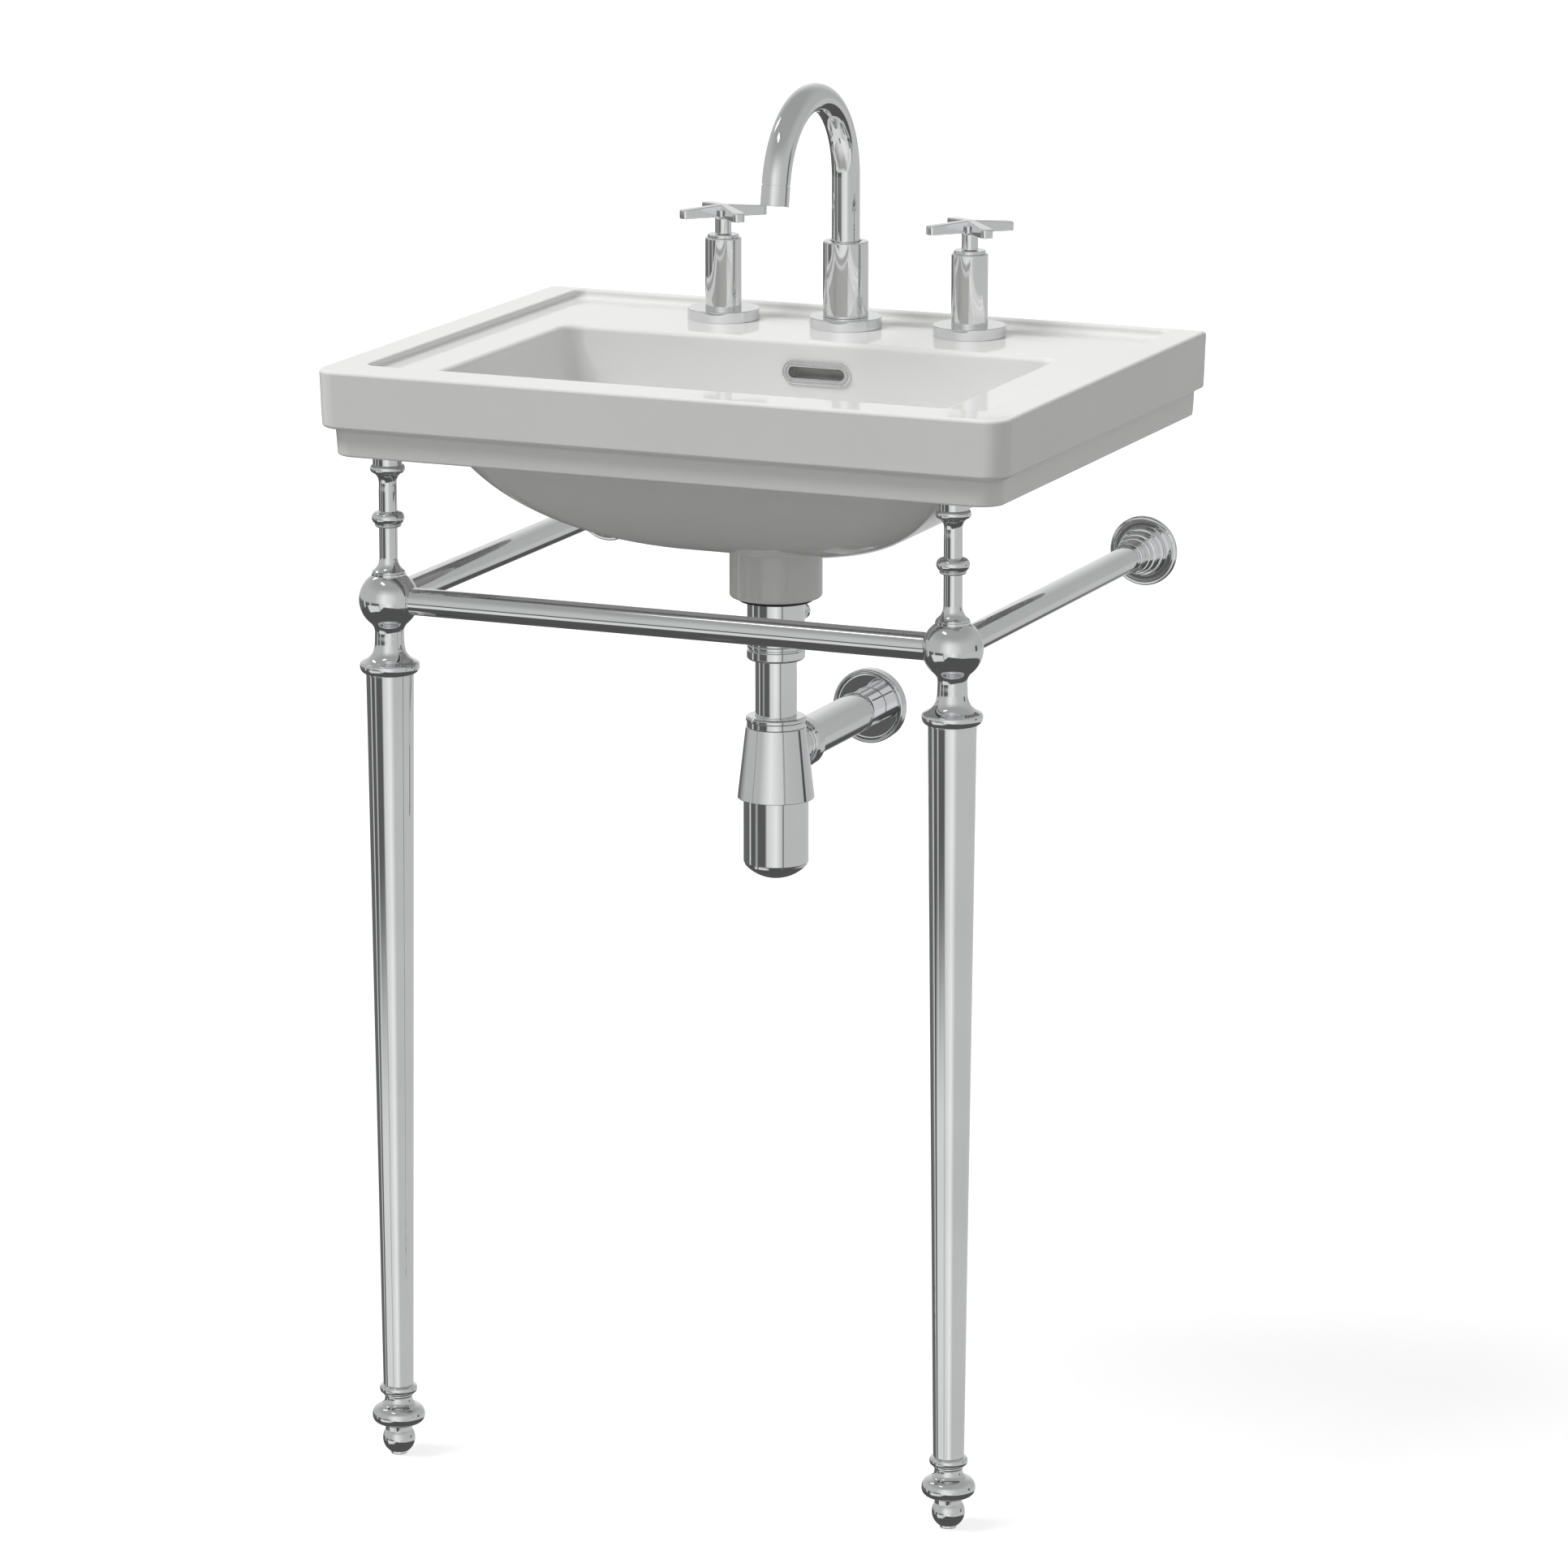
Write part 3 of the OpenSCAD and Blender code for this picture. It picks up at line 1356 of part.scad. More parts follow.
// Rosettes: stepped collars on the wall that take the rails' ends.
// Each step is a radius and how far it stands off the wall.
rosette_step_radii = [19, 16.4, 14.2, 12.3];
rosette_step_heights = [8.5, 18, 24, 37];
rosette_flange_height = 3;
rosette_rise = 1.4;
rosette_ring_width = 3;
rosette_edge = 1;

module rosette(side) {
    last = len(rosette_step_radii) - 1;
    rim = rosette_radius - rosette_ring_width;
    color(CHROME) on_wall(side * leg_x, rail_height) difference() {
        turned(concat(
            [[0, 0], [rosette_radius, 0]],
            arc_points(rosette_radius - rosette_edge, rosette_flange_height - rosette_edge,
                rosette_edge, rosette_edge, 0, 90),
            [[rim, rosette_flange_height], [rim, rosette_flange_height + rosette_rise],
                [rim - rosette_ring_width / 2, rosette_flange_height + rosette_rise],
                [rim - rosette_ring_width / 2, rosette_flange_height],
                [rosette_step_radii[0], rosette_flange_height]],
            [for (step = [0:last]) each concat(
                arc_points(rosette_step_radii[step] - rosette_edge,
                    rosette_step_heights[step] - rosette_edge, rosette_edge, rosette_edge, 0, 90),
                step < last ? [[rosette_step_radii[step + 1], rosette_step_heights[step]]] : [])],
            [[0, rosette_step_heights[last]]]));
        translate([0, 0, rosette_rail_inset])
            cylinder(r = rail_radius + fitted_gap, h = rosette_step_heights[last]);
        rosette_screw_space(fitted_gap);
    }
}

// Grub screw from below that holds the rail in its rosette.
rosette_screw_radius = 2;
module rosette_screw_space(gap) {
    start = rail_radius + fitted_gap - gap;
    translate([0, -start, rosette_step_heights[1] - rosette_step_radii[3] / 2])
        rotate([90, 0, 0]) cylinder(r = rosette_screw_radius + gap,
            h = rosette_step_radii[1] + (gap > 0 ? overrun : -handle_screw_inset) - start);
}

module rosette_screws() {
    color(BRASS) for (side = [-1, 1])
        on_wall(side * leg_x, rail_height) rosette_screw_space(0);
}

module left_side_rail() { side_rail(-1); }
module right_side_rail() { side_rail(1); }
module left_rosette() { rosette(-1); }
module right_rosette() { rosette(1); }

basin();
overflow_ring();
hot_flange();
cold_flange();
spout_flange();
hot_valve_body();
cold_valve_body();
hot_cartridge();
cold_cartridge();
hot_bonnet();
cold_bonnet();
hot_spindle();
cold_spindle();
hot_handle();
cold_handle();
hot_handle_screw();
cold_handle_screw();
spout_base();
spout_grub_screw();
spout();
spout_nozzle();
aerator();
deck_washers();
deck_nuts();
waste_flange();
waste_plug();
waste_seal();
waste_body();
side_port_nut();
tail_nut();
inlet_tube();
trap_nut();
trap_bell();
trap_cup();
trap_seals();
outlet_nut();
outlet_pipe();
wall_pipe();
wall_plate();
left_upper_stem();
right_upper_stem();
left_ball_joint();
right_ball_joint();
left_leg_tube();
right_leg_tube();
left_foot();
right_foot();
left_foot_pad();
right_foot_pad();
front_rail();
left_side_rail();
right_side_rail();
left_rosette();
right_rosette();
rosette_screws();
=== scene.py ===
import json
import math

import bpy
import numpy as np
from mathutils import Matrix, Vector


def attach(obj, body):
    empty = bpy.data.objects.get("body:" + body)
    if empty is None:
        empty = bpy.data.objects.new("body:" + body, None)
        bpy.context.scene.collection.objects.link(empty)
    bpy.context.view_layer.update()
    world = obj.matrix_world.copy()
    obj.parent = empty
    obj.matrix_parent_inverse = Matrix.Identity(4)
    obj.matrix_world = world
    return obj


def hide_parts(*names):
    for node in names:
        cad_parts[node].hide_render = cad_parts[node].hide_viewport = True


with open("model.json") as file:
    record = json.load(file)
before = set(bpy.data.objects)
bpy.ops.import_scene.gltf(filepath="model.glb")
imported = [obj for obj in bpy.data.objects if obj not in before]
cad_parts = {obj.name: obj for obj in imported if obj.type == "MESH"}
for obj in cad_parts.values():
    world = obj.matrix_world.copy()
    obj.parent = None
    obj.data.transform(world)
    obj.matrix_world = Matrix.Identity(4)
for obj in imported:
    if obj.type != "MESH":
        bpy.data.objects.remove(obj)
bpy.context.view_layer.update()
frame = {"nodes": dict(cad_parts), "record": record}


# ----------------------------------------------------------------------
# The photograph's viewpoint: a long lens a little to the right of the sink's
# front and above its rim, as a catalogue picture of bathroom ware is taken.
# ----------------------------------------------------------------------
lens_data = bpy.data.cameras.new("catalogue_lens")
lens_data.sensor_width = 36.0
lens_data.lens = 173.18
lens_data.clip_end = 50.0
camera = bpy.data.objects.new("catalogue_camera", lens_data)
camera.location = (2.24067, -5.22432, 1.82903)
camera.rotation_euler = (math.radians(76.979), 0.0, math.radians(23.074))
bpy.context.scene.collection.objects.link(camera)
bpy.context.scene.camera = camera


# ----------------------------------------------------------------------
# The basin: one vitreous china casting, slip-cast in a plaster mould, sprayed
# with white glaze and fired. The face against the wall stays bare clay.
# ----------------------------------------------------------------------
MM = 0.001
RIM = 854.5
LEDGE = 848.0
LEDGE_UNDER = 835.0
SKIRT = 787.5
WALL = 215.0
OUTLET_Y = 19.8
POINTS_PER_SIDE = 48


def side_of_outline(corner_a, corner_b, radius_a, radius_b, along, inward):
    """One side of a rounded outline, from the middle of one corner's arc to
    the middle of the next, with its points drawn closer together on the arcs."""
    straight = (corner_b - corner_a) @ along - radius_a - radius_b
    arc_a, arc_b = radius_a * math.pi / 4, radius_b * math.pi / 4
    length = arc_a + straight + arc_b
    fine = np.linspace(0.0, length, 601)
    density = np.full(600, 0.55 / length)
    middle = (fine[1:] + fine[:-1]) / 2
    density += np.where(middle < arc_a, 0.225 / arc_a, 0.0)
    density += np.where(middle > arc_a + straight, 0.225 / arc_b, 0.0)
    run = np.concatenate([[0.0], np.cumsum(density * np.diff(fine))])
    place = np.interp(np.arange(POINTS_PER_SIDE) / POINTS_PER_SIDE * run[-1], run, fine)
    points = np.zeros((POINTS_PER_SIDE, 2))
    for i, s in enumerate(place):
        if s < arc_a:
            turn = math.pi / 4 + s / radius_a
            centre = corner_a + radius_a * (along + inward)
            points[i] = centre - radius_a * (
                math.cos(turn) * along + math.sin(turn) * inward
            )
        elif s > arc_a + straight:
            turn = (s - arc_a - straight) / radius_b
            centre = corner_b + radius_b * (inward - along)
            points[i] = centre + radius_b * (
                math.sin(turn) * along - math.cos(turn) * inward
            )
        else:
            points[i] = corner_a + (radius_a + s - arc_a) * along
    return points


def basin_outline(half_x, front, back, front_radius, back_radius, height):
    """A level ring of the casting, anticlockwise from its front left corner."""
    corners = np.array(
        [(-half_x, front), (half_x, front), (half_x, back), (-half_x, back)]
    )
    radii = (front_radius, front_radius, back_radius, back_radius)
    ways = np.array([(1.0, 0.0), (0.0, 1.0), (-1.0, 0.0), (0.0, -1.0)])
    sides = [
        side_of_outline(
            corners[k],
            corners[(k + 1) % 4],
            radii[k],
            radii[(k + 1) % 4],
            ways[k],
            ways[(k + 1) % 4],
        )
        for k in range(4)
    ]
    ring = np.vstack(sides)
    return np.column_stack([ring, np.full(len(ring), height)])


def swept(first, last, steps):
    """Angles in radians from one to another, given in degrees."""
    return [math.radians(first + (last - first) * k / steps) for k in range(steps + 1)]


def round_ring(radius, height):
    return basin_outline(
        radius, OUTLET_Y - radius, OUTLET_Y + radius, radius, radius, height
    )


def outside_ring(out, height, back=WALL):
    """A ring of the skirt and the band, out from the core of the front corners."""
    return basin_outline(262.0 + out, -197.0 - out, back, max(out, 17.0), 3.0, height)


# Cores of three openings: half width, front, back, front and back corner radius.
LEDGE_EDGE = (252.6, -179.0, 207.25, 10.0, 10.0)
MOUTH = (204.7, -165.0, 86.5, 27.0, 14.0)
HOLLOW = (250.96, -185.96, 189.0, 3.0, 3.0)


def ring_round(core, out, height):
    """A ring that stands out evenly from one of the cores."""
    half_x, front, back, front_radius, back_radius = core
    radii = (front_radius + out, back_radius + out)
    return basin_outline(half_x + out, front - out, back + out, *radii, height)


def bowl_ring(turn, grow):
    """A ring of the bowl, from its mouth at 0 to its outlet at 90 degrees."""
    wide = math.cos(turn) ** (2 / 1.94) if turn < math.pi / 2 - 1e-6 else 0.0
    deep = math.sin(turn) ** (2 / 1.94) if turn > 1e-6 else 0.0
    flat = 34.0 + grow
    half_x, front, back, front_radius, back_radius = MOUTH
    return basin_outline(
        flat + (half_x + grow - flat) * wide,
        OUTLET_Y - flat + (front - grow - OUTLET_Y + flat) * wide,
        OUTLET_Y + flat + (back + grow - OUTLET_Y - flat) * wide,
        flat + (front_radius + grow - flat) * wide,
        flat + (back_radius + grow - flat) * wide,
        LEDGE - 4.5 - (129.5 + grow) * deep,
    )


def bowl_underside_ring(turn):
    """A ring of the bowl's outside, swollen over the overflow's passage."""
    ring = bowl_ring(turn, 11.0)
    behind = np.clip((ring[:, 1] - OUTLET_Y - 10.0) / 25.0, 0.0, 1.0)
    beside = np.clip((34.0 - np.abs(ring[:, 0] - 6.0)) / 8.0, 0.0, 1.0)
    swell = 11.0 * behind * beside * beside * (3.0 - 2.0 * beside)
    fall = 1.0 - math.cos(turn)
    ring[:, 1] += swell * (1.0 - fall * fall)
    ring[:, 2] -= swell * fall * behind
    return ring


def basin_rings():
    """The casting's skin as one closed run of rings: up the outside, over the
    rim and the ledge, down the bowl and the outlet, and back underneath."""
    rings = []
    for a in swept(-90, 0, 5):
        rings.append(
            outside_ring(
                5.96 + 2.0 * math.cos(a), SKIRT + 2.0 + 2.0 * math.sin(a), WALL - 1.0
            )
        )
    rings.append(outside_ring(8.3, 797.0))
    for a in swept(180, 90, 6):
        rings.append(outside_ring(12.73 + 4.0 * math.cos(a), 805.5 + 4.0 * math.sin(a)))
    for a in swept(-90, 0, 7):
        rings.append(outside_ring(13.43 + 3.0 * math.cos(a), 812.5 + 3.0 * math.sin(a)))
    for height in (824.0, 838.0):
        draft = (RIM - height) * math.tan(math.radians(2))
        rings.append(outside_ring(18.0 - draft, height))
    for a in swept(0, 90, 8):
        rings.append(
            outside_ring(
                15.0 + 3.0 * math.cos(a),
                RIM - 3.0 + 3.0 * math.sin(a),
                WALL - 1.5 + 1.5 * math.cos(a),
            )
        )
    for a in swept(0, 90, 6):
        height = RIM - 2.2 + 2.2 * math.cos(a)
        rings.append(ring_round(LEDGE_EDGE, 2.2 - 2.2 * math.sin(a), height))
    for a in swept(0, 90, 7):
        height = LEDGE + 3.4 - 3.4 * math.sin(a)
        rings.append(ring_round(LEDGE_EDGE, 3.4 * math.cos(a) - 3.4, height))
    for a in swept(90, 180, 8):
        height = LEDGE - 4.5 + 4.5 * math.sin(a)
        rings.append(ring_round(MOUTH, 4.5 * (1.0 + math.cos(a)), height))
    rings += [bowl_ring(a, 0.0) for a in swept(0, 90, 44)[1:]]
    rings += [round_ring(radius, 714.0) for radius in (30.0, 26.0, 23.4)]
    rings += [round_ring(22.4, height) for height in (713.0, 660.3)]
    rings += [round_ring(23.4, 659.3), round_ring(33.5, 659.3)]
    for a in swept(-70, 0, 5):
        rings.append(round_ring(33.5 + 2.5 * math.cos(a), 661.8 + 2.5 * math.sin(a)))
    rings.append(round_ring(36.0, 680.0))
    for a in swept(180, 90, 6):
        rings.append(round_ring(43.0 + 7.0 * math.cos(a), 696.0 + 7.0 * math.sin(a)))
    rings += [bowl_underside_ring(a) for a in swept(90, 5.2, 36)]
    rings.append(basin_outline(222.0, -183.0, 116.0, 38.0, 26.0, LEDGE_UNDER))
    for a in swept(90, 0, 5):
        height = LEDGE_UNDER - 6.0 + 6.0 * math.sin(a)
        rings.append(ring_round(HOLLOW, 6.0 * math.cos(a), height))
    rings.append(ring_round(HOLLOW, 6.0, SKIRT + 1.5))
    rings.append(basin_outline(258.4, -193.4, 196.5, 10.4, 10.4, SKIRT))
    return rings


def deselect():
    if bpy.context.mode != "OBJECT":
        bpy.ops.object.mode_set(mode="OBJECT")
    bpy.ops.object.select_all(action="DESELECT")


def picked(piece):
    """Selects one piece alone and makes it the active one."""
    deselect()
    piece.select_set(True)
    bpy.context.view_layer.objects.active = piece


def welded(gap=1e-6):
    """Ends an edit: joins points that meet and turns all faces outward."""
    bpy.ops.mesh.select_all(action="SELECT")
    bpy.ops.mesh.remove_doubles(threshold=gap)
    bpy.ops.mesh.normals_make_consistent(inside=False)
    bpy.ops.object.mode_set(mode="OBJECT")


def rolled_skin(name, rings):
    """A closed skin through rings of points: a grid rolled up both ways."""
    deselect()
    across, along = len(rings[0]), len(rings)
    bpy.ops.mesh.primitive_grid_add(x_subdivisions=across, y_subdivisions=along)
    skin = bpy.context.object
    skin.name = name
    closed = [np.vstack([ring, ring[:1]]) for ring in rings + rings[:1]]
    skin.data.vertices.foreach_set("co", (np.vstack(closed) * MM).ravel())
    bpy.ops.object.mode_set(mode="EDIT")
    welded()
    return skin


def soft_block(low, high, rounding):
    """An upright block with rounded edges, given by its two corners."""
    deselect()
    low, high = Vector(low) * MM, Vector(high) * MM
    bpy.ops.mesh.primitive_cube_add(size=1.0, location=(low + high) / 2)
    block = bpy.context.object
    block.scale = high - low
    bpy.ops.object.transform_apply()
    bpy.ops.object.mode_set(mode="EDIT")
    bpy.ops.mesh.select_all(action="SELECT")
    bpy.ops.mesh.bevel(offset=rounding * MM, segments=4, affect="EDGES")
    bpy.ops.object.mode_set(mode="OBJECT")
    return block


def cut_or_joined(whole, piece, operation):
    """Cuts a piece out of a whole, or joins it on, and throws the piece away."""
    change = whole.modifiers.new("fitting", "BOOLEAN")
    change.operation = operation
    change.object = piece
    change.solver = "EXACT"
    picked(whole)
    bpy.ops.object.modifier_apply(modifier=change.name)
    bpy.data.objects.remove(piece)


def round_bar(radius, start, end, segments=48):
    """A plain bar between two points, used to drill a hole."""
    deselect()
    start, end = Vector(start) * MM, Vector(end) * MM
    bpy.ops.mesh.primitive_cylinder_add(
        vertices=segments,
        radius=radius * MM,
        depth=(end - start).length,
        location=(start + end) / 2,
        rotation=(end - start).to_track_quat("Z", "Y").to_euler(),
    )
    bpy.ops.object.transform_apply()
    return bpy.context.object


def smoothed(piece, degrees=32.0):
    """Smooth shading with its flats kept flat, and edges over an angle crisp."""
    picked(piece)
    bpy.ops.object.shade_smooth_by_angle(angle=math.radians(degrees))
    flats = piece.modifiers.new("flats", "WEIGHTED_NORMAL")
    flats.keep_sharp = True
    bpy.ops.object.modifier_apply(modifier=flats.name)


PAD_INSIDE, PAD_OUTSIDE = 206.0, 258.5
BOLT_X, BOLT_Z = 140.0, 812.0

basin = rolled_skin("ceramic_basin", basin_rings())
for side in (-1, 1):
    x_low, x_high = sorted((side * PAD_INSIDE, side * PAD_OUTSIDE))
    pad = soft_block((x_low, -193.4, SKIRT + 0.2), (x_high, -164.2, 837.0), 2.0)
    cut_or_joined(basin, pad, "UNION")
    bolt_x = side * BOLT_X
    hole = round_bar(6.0, (bolt_x, 190.0, BOLT_Z), (bolt_x, 220.0, BOLT_Z))
    cut_or_joined(basin, hole, "DIFFERENCE")

TAPS_Y = 158.5
VALVES_X = 104.2
TAP_ROW = (("hot", -VALVES_X), ("spout", 0.0), ("cold", VALVES_X))
for side, x in TAP_ROW:
    hole = round_bar(17.5, (x, TAPS_Y, 825.0), (x, TAPS_Y, 855.0), 72)
    cut_or_joined(basin, hole, "DIFFERENCE")

OVERFLOW = (6.0, 823.0)
slot = soft_block(
    (OVERFLOW[0] - 25.4, 75.0, OVERFLOW[1] - 6.4),
    (OVERFLOW[0] + 25.4, 97.0, OVERFLOW[1] + 6.4),
    6.2,
)
cut_or_joined(basin, slot, "DIFFERENCE")
duct = soft_block((-17.5, 94.0, 770.0), (29.5, 102.5, 831.5), 2.0)
cut_or_joined(basin, duct, "DIFFERENCE")
smoothed(basin, 40.0)


def linked(tree, source, output, target, socket):
    tree.links.new(source.outputs[output], target.inputs[socket])


def grain_group():
    """Slow mottling and fine ripple that any fired or polished skin shows."""
    group = bpy.data.node_groups.new("skin_ripple", "ShaderNodeTree")
    face = group.interface
    for label, value in (
        ("Mottle Scale", 9.0), ("Ripple Scale", 260.0), ("Roughness Low", 0.05),
        ("Roughness High", 0.09),
    ):
        socket = face.new_socket(name=label, in_out="INPUT", socket_type="NodeSocketFloat")
        socket.default_value = value
    for label in ("Mottle", "Roughness", "Ripple"):
        face.new_socket(name=label, in_out="OUTPUT", socket_type="NodeSocketFloat")
    inside = group.nodes.new("NodeGroupInput")
    outside = group.nodes.new("NodeGroupOutput")
    place = group.nodes.new("ShaderNodeTexCoord")
    mottle = group.nodes.new("ShaderNodeTexNoise")
    mottle.inputs["Detail"].default_value = 5.0
    ripple = group.nodes.new("ShaderNodeTexNoise")
    ripple.inputs["Detail"].default_value = 2.0
    spread = group.nodes.new("ShaderNodeMapRange")
    spread.inputs["From Min"].default_value = 0.3
    spread.inputs["From Max"].default_value = 0.7
    linked(group, place, "Object", mottle, "Vector")
    linked(group, place, "Object", ripple, "Vector")
    linked(group, inside, "Mottle Scale", mottle, "Scale")
    linked(group, inside, "Ripple Scale", ripple, "Scale")
    linked(group, mottle, "Fac", spread, "Value")
    linked(group, inside, "Roughness Low", spread, "To Min")
    linked(group, inside, "Roughness High", spread, "To Max")
    linked(group, mottle, "Fac", outside, "Mottle")
    linked(group, spread, "Result", outside, "Roughness")
    linked(group, ripple, "Fac", outside, "Ripple")
    return group


SKIN_RIPPLE = grain_group()


def skin_material(name, scales, roughness):
    """A Principled material fed by the ripple group with its own values."""
    material = bpy.data.materials.new(name)
    material.use_nodes = True
    tree = material.node_tree
    skin = tree.nodes.new("ShaderNodeGroup")
    skin.node_tree = SKIN_RIPPLE
    labels = ("Mottle Scale", "Ripple Scale", "Roughness Low", "Roughness High")
    for label, value in zip(labels, (*scales, *roughness)):
        skin.inputs[label].default_value = value
    shader = tree.nodes["Principled BSDF"]
    linked(tree, skin, "Roughness", shader, "Roughness")
    return material, tree, skin, shader


def toned(tree, skin, low, high):
    """Colour that wanders between two close tones with the mottling."""
    ramp = tree.nodes.new("ShaderNodeValToRGB")
    ramp.color_ramp.elements[0].position = 0.3
    ramp.color_ramp.elements[0].color = (*low, 1.0)
    ramp.color_ramp.elements[1].position = 0.7
    ramp.color_ramp.elements[1].color = (*high, 1.0)
    linked(tree, skin, "Mottle", ramp, "Fac")
    return ramp


def rippled(tree, skin, shader, strength, distance):
    bump = tree.nodes.new("ShaderNodeBump")
    bump.inputs["Strength"].default_value = strength
    bump.inputs["Distance"].default_value = distance
    linked(tree, skin, "Ripple", bump, "Height")
    linked(tree, bump, "Normal", shader, "Normal")


def white_glaze():
    """Bright white glaze, with bare fired clay on the face against the wall."""
    material, tree, skin, shader = skin_material("white_glaze", (7.0, 34.0), (0.05, 0.08))
    glazed = toned(tree, skin, (0.80, 0.80, 0.79), (0.82, 0.82, 0.81))
    clay = toned(tree, skin, (0.62, 0.57, 0.49), (0.70, 0.65, 0.57))
    place = tree.nodes.new("ShaderNodeTexCoord")
    axes = tree.nodes.new("ShaderNodeSeparateXYZ")
    bare = tree.nodes.new("ShaderNodeMapRange")
    bare.interpolation_type = "SMOOTHSTEP"
    bare.inputs["From Min"].default_value = (WALL - 0.6) * MM
    bare.inputs["From Max"].default_value = (WALL - 0.1) * MM
    linked(tree, place, "Object", axes, "Vector")
    linked(tree, axes, "Y", bare, "Value")
    colour = tree.nodes.new("ShaderNodeMix")
    colour.data_type = "RGBA"
    tree.links.new(bare.outputs["Result"], colour.inputs[0])
    tree.links.new(glazed.outputs["Color"], colour.inputs[6])
    tree.links.new(clay.outputs["Color"], colour.inputs[7])
    tree.links.new(colour.outputs[2], shader.inputs["Base Color"])
    rough = tree.nodes.new("ShaderNodeMath")
    rough.operation = "MULTIPLY_ADD"
    rough.inputs[1].default_value = 0.6
    tree.links.new(bare.outputs["Result"], rough.inputs[0])
    tree.links.new(skin.outputs["Roughness"], rough.inputs[2])
    tree.links.new(rough.outputs["Value"], shader.inputs["Roughness"])
    rippled(tree, skin, shader, 0.03, 0.002)
    shader.inputs["IOR"].default_value = 1.52
    return material


WHITE_GLAZE = white_glaze()


def finished(piece, body, material, slot_name, *replaced):
    """Gives a new piece its material and its body, and hides the CAD nodes it stands for.
    """
    piece.data.materials.clear()
    piece.data.materials.append(material)
    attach(piece, body)
    if replaced:
        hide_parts(*replaced)


finished(basin, "sink", WHITE_GLAZE, "ceramic", "basin")


# ----------------------------------------------------------------------
# The overflow ring: a pressed brass ring with a rolled rim and a thin inner
# lip, chromium plated and pushed into the slot in the bowl's back wall.
# ----------------------------------------------------------------------
def one_finish(name, scales, roughness, tones, ripple, metallic):
    """A material of one finish all over, such as a plated or a moulded piece."""
    material, tree, skin, shader = skin_material(name, scales, roughness)
    linked(tree, toned(tree, skin, *tones), "Color", shader, "Base Color")
    rippled(tree, skin, shader, *ripple)
    shader.inputs["Metallic"].default_value = metallic
    return material


CHROME_TONES = (0.75, 0.755, 0.76), (0.79, 0.795, 0.80)
CHROME = one_finish(
    "polished_chrome", (14.0, 40.0), (0.02, 0.04), CHROME_TONES, (0.005, 0.0005), 1.0
)


def softened(*corners):
    """A half outline through corners (radius, height, rounding), each eased by
    a small arc. One that starts off the axis closes into a ring."""
    ring = corners[0][0] > 0.0
    count = len(corners)
    outline = []
    for k, corner in enumerate(corners):
        here = np.array(corner[:2], float)
        if len(corner) < 3 or (not ring and k in (0, count - 1)):
            outline.append(here)
            continue
        to_last = np.array(corners[k - 1][:2], float) - here
        to_next = np.array(corners[(k + 1) % count][:2], float) - here
        far = 0.48 * min(np.linalg.norm(to_last), np.linalg.norm(to_next))
        to_last /= np.linalg.norm(to_last)
        to_next /= np.linalg.norm(to_next)
        half = math.acos(max(-1.0, min(1.0, to_last @ to_next))) / 2
        reach = min(corner[2] / math.tan(half), far)
        centre = here + (to_last + to_next) * reach / (1.0 + to_last @ to_next)
        first = here + to_last * reach - centre
        last = here + to_next * reach - centre
        whole = math.pi - 2 * half
        for step in range(6):
            part = whole * step / 5
            outline.append(
                centre
                + (first * math.sin(whole - part) + last * math.sin(part))
                / math.sin(whole)
            )
    return outline + outline[:1] if ring else outline


def drawn(name, points):
    """A new piece begun as one run of edges, drawn point after point."""
    deselect()
    bpy.ops.mesh.primitive_plane_add(size=0.01)
    piece = bpy.context.object
    piece.name = name
    bpy.ops.object.mode_set(mode="EDIT")
    bpy.ops.mesh.select_all(action="SELECT")
    bpy.ops.mesh.merge(type="CENTER")
    bpy.ops.transform.translate(value=Vector(points[0]) * MM)
    for before, after in zip(points, points[1:]):
        step = Vector([end - start for start, end in zip(before, after)]) * MM
        bpy.ops.mesh.extrude_region_move(TRANSFORM_OT_translate={"value": step})
    bpy.ops.mesh.select_all(action="SELECT")
    return piece


def turned(name, outline, steps=96):
    """A lathe turning: its half outline in mm, spun about the upright axis."""
    piece = drawn(name, [(radius, 0.0, height) for radius, height in outline])
    bpy.ops.mesh.spin(steps=steps, angle=2 * math.pi, center=(0, 0, 0), axis=(0, 0, 1))
    welded(2e-6)
    return piece


def placed(piece, x=0.0, y=0.0, z=0.0, turn=(0.0, 0.0, 0.0)):
    """Turns a piece by degrees about its own origin, then moves it into place."""
    picked(piece)
    piece.rotation_euler = [math.radians(angle) for angle in turn]
    piece.location = Vector((x, y, z)) * MM
    bpy.ops.object.transform_apply()
    return piece


def plated(piece, node, body="sink", degrees=32.0):
    """Buffs a finished shape and plates it: chrome, on its body, for its node."""
    smoothed(piece, degrees)
    finished(piece, body, CHROME, "chrome", node)
    return piece


def pick_points(piece, wanted, with_faces=False):
    """Selects the points that a test wants, with the edges between them."""
    picked(piece)
    points = piece.data.vertices
    for point in points:
        point.select = wanted(point.co)
    for edge in piece.data.edges:
        edge.select = all(points[v].select for v in edge.vertices)
    for face in piece.data.polygons:
        face.select = with_faces and all(points[v].select for v in face.vertices)
    bpy.ops.object.mode_set(mode="EDIT")


OFF_THE_WALL = (90.0, 0.0, 0.0)
RING_REACH = 19.0

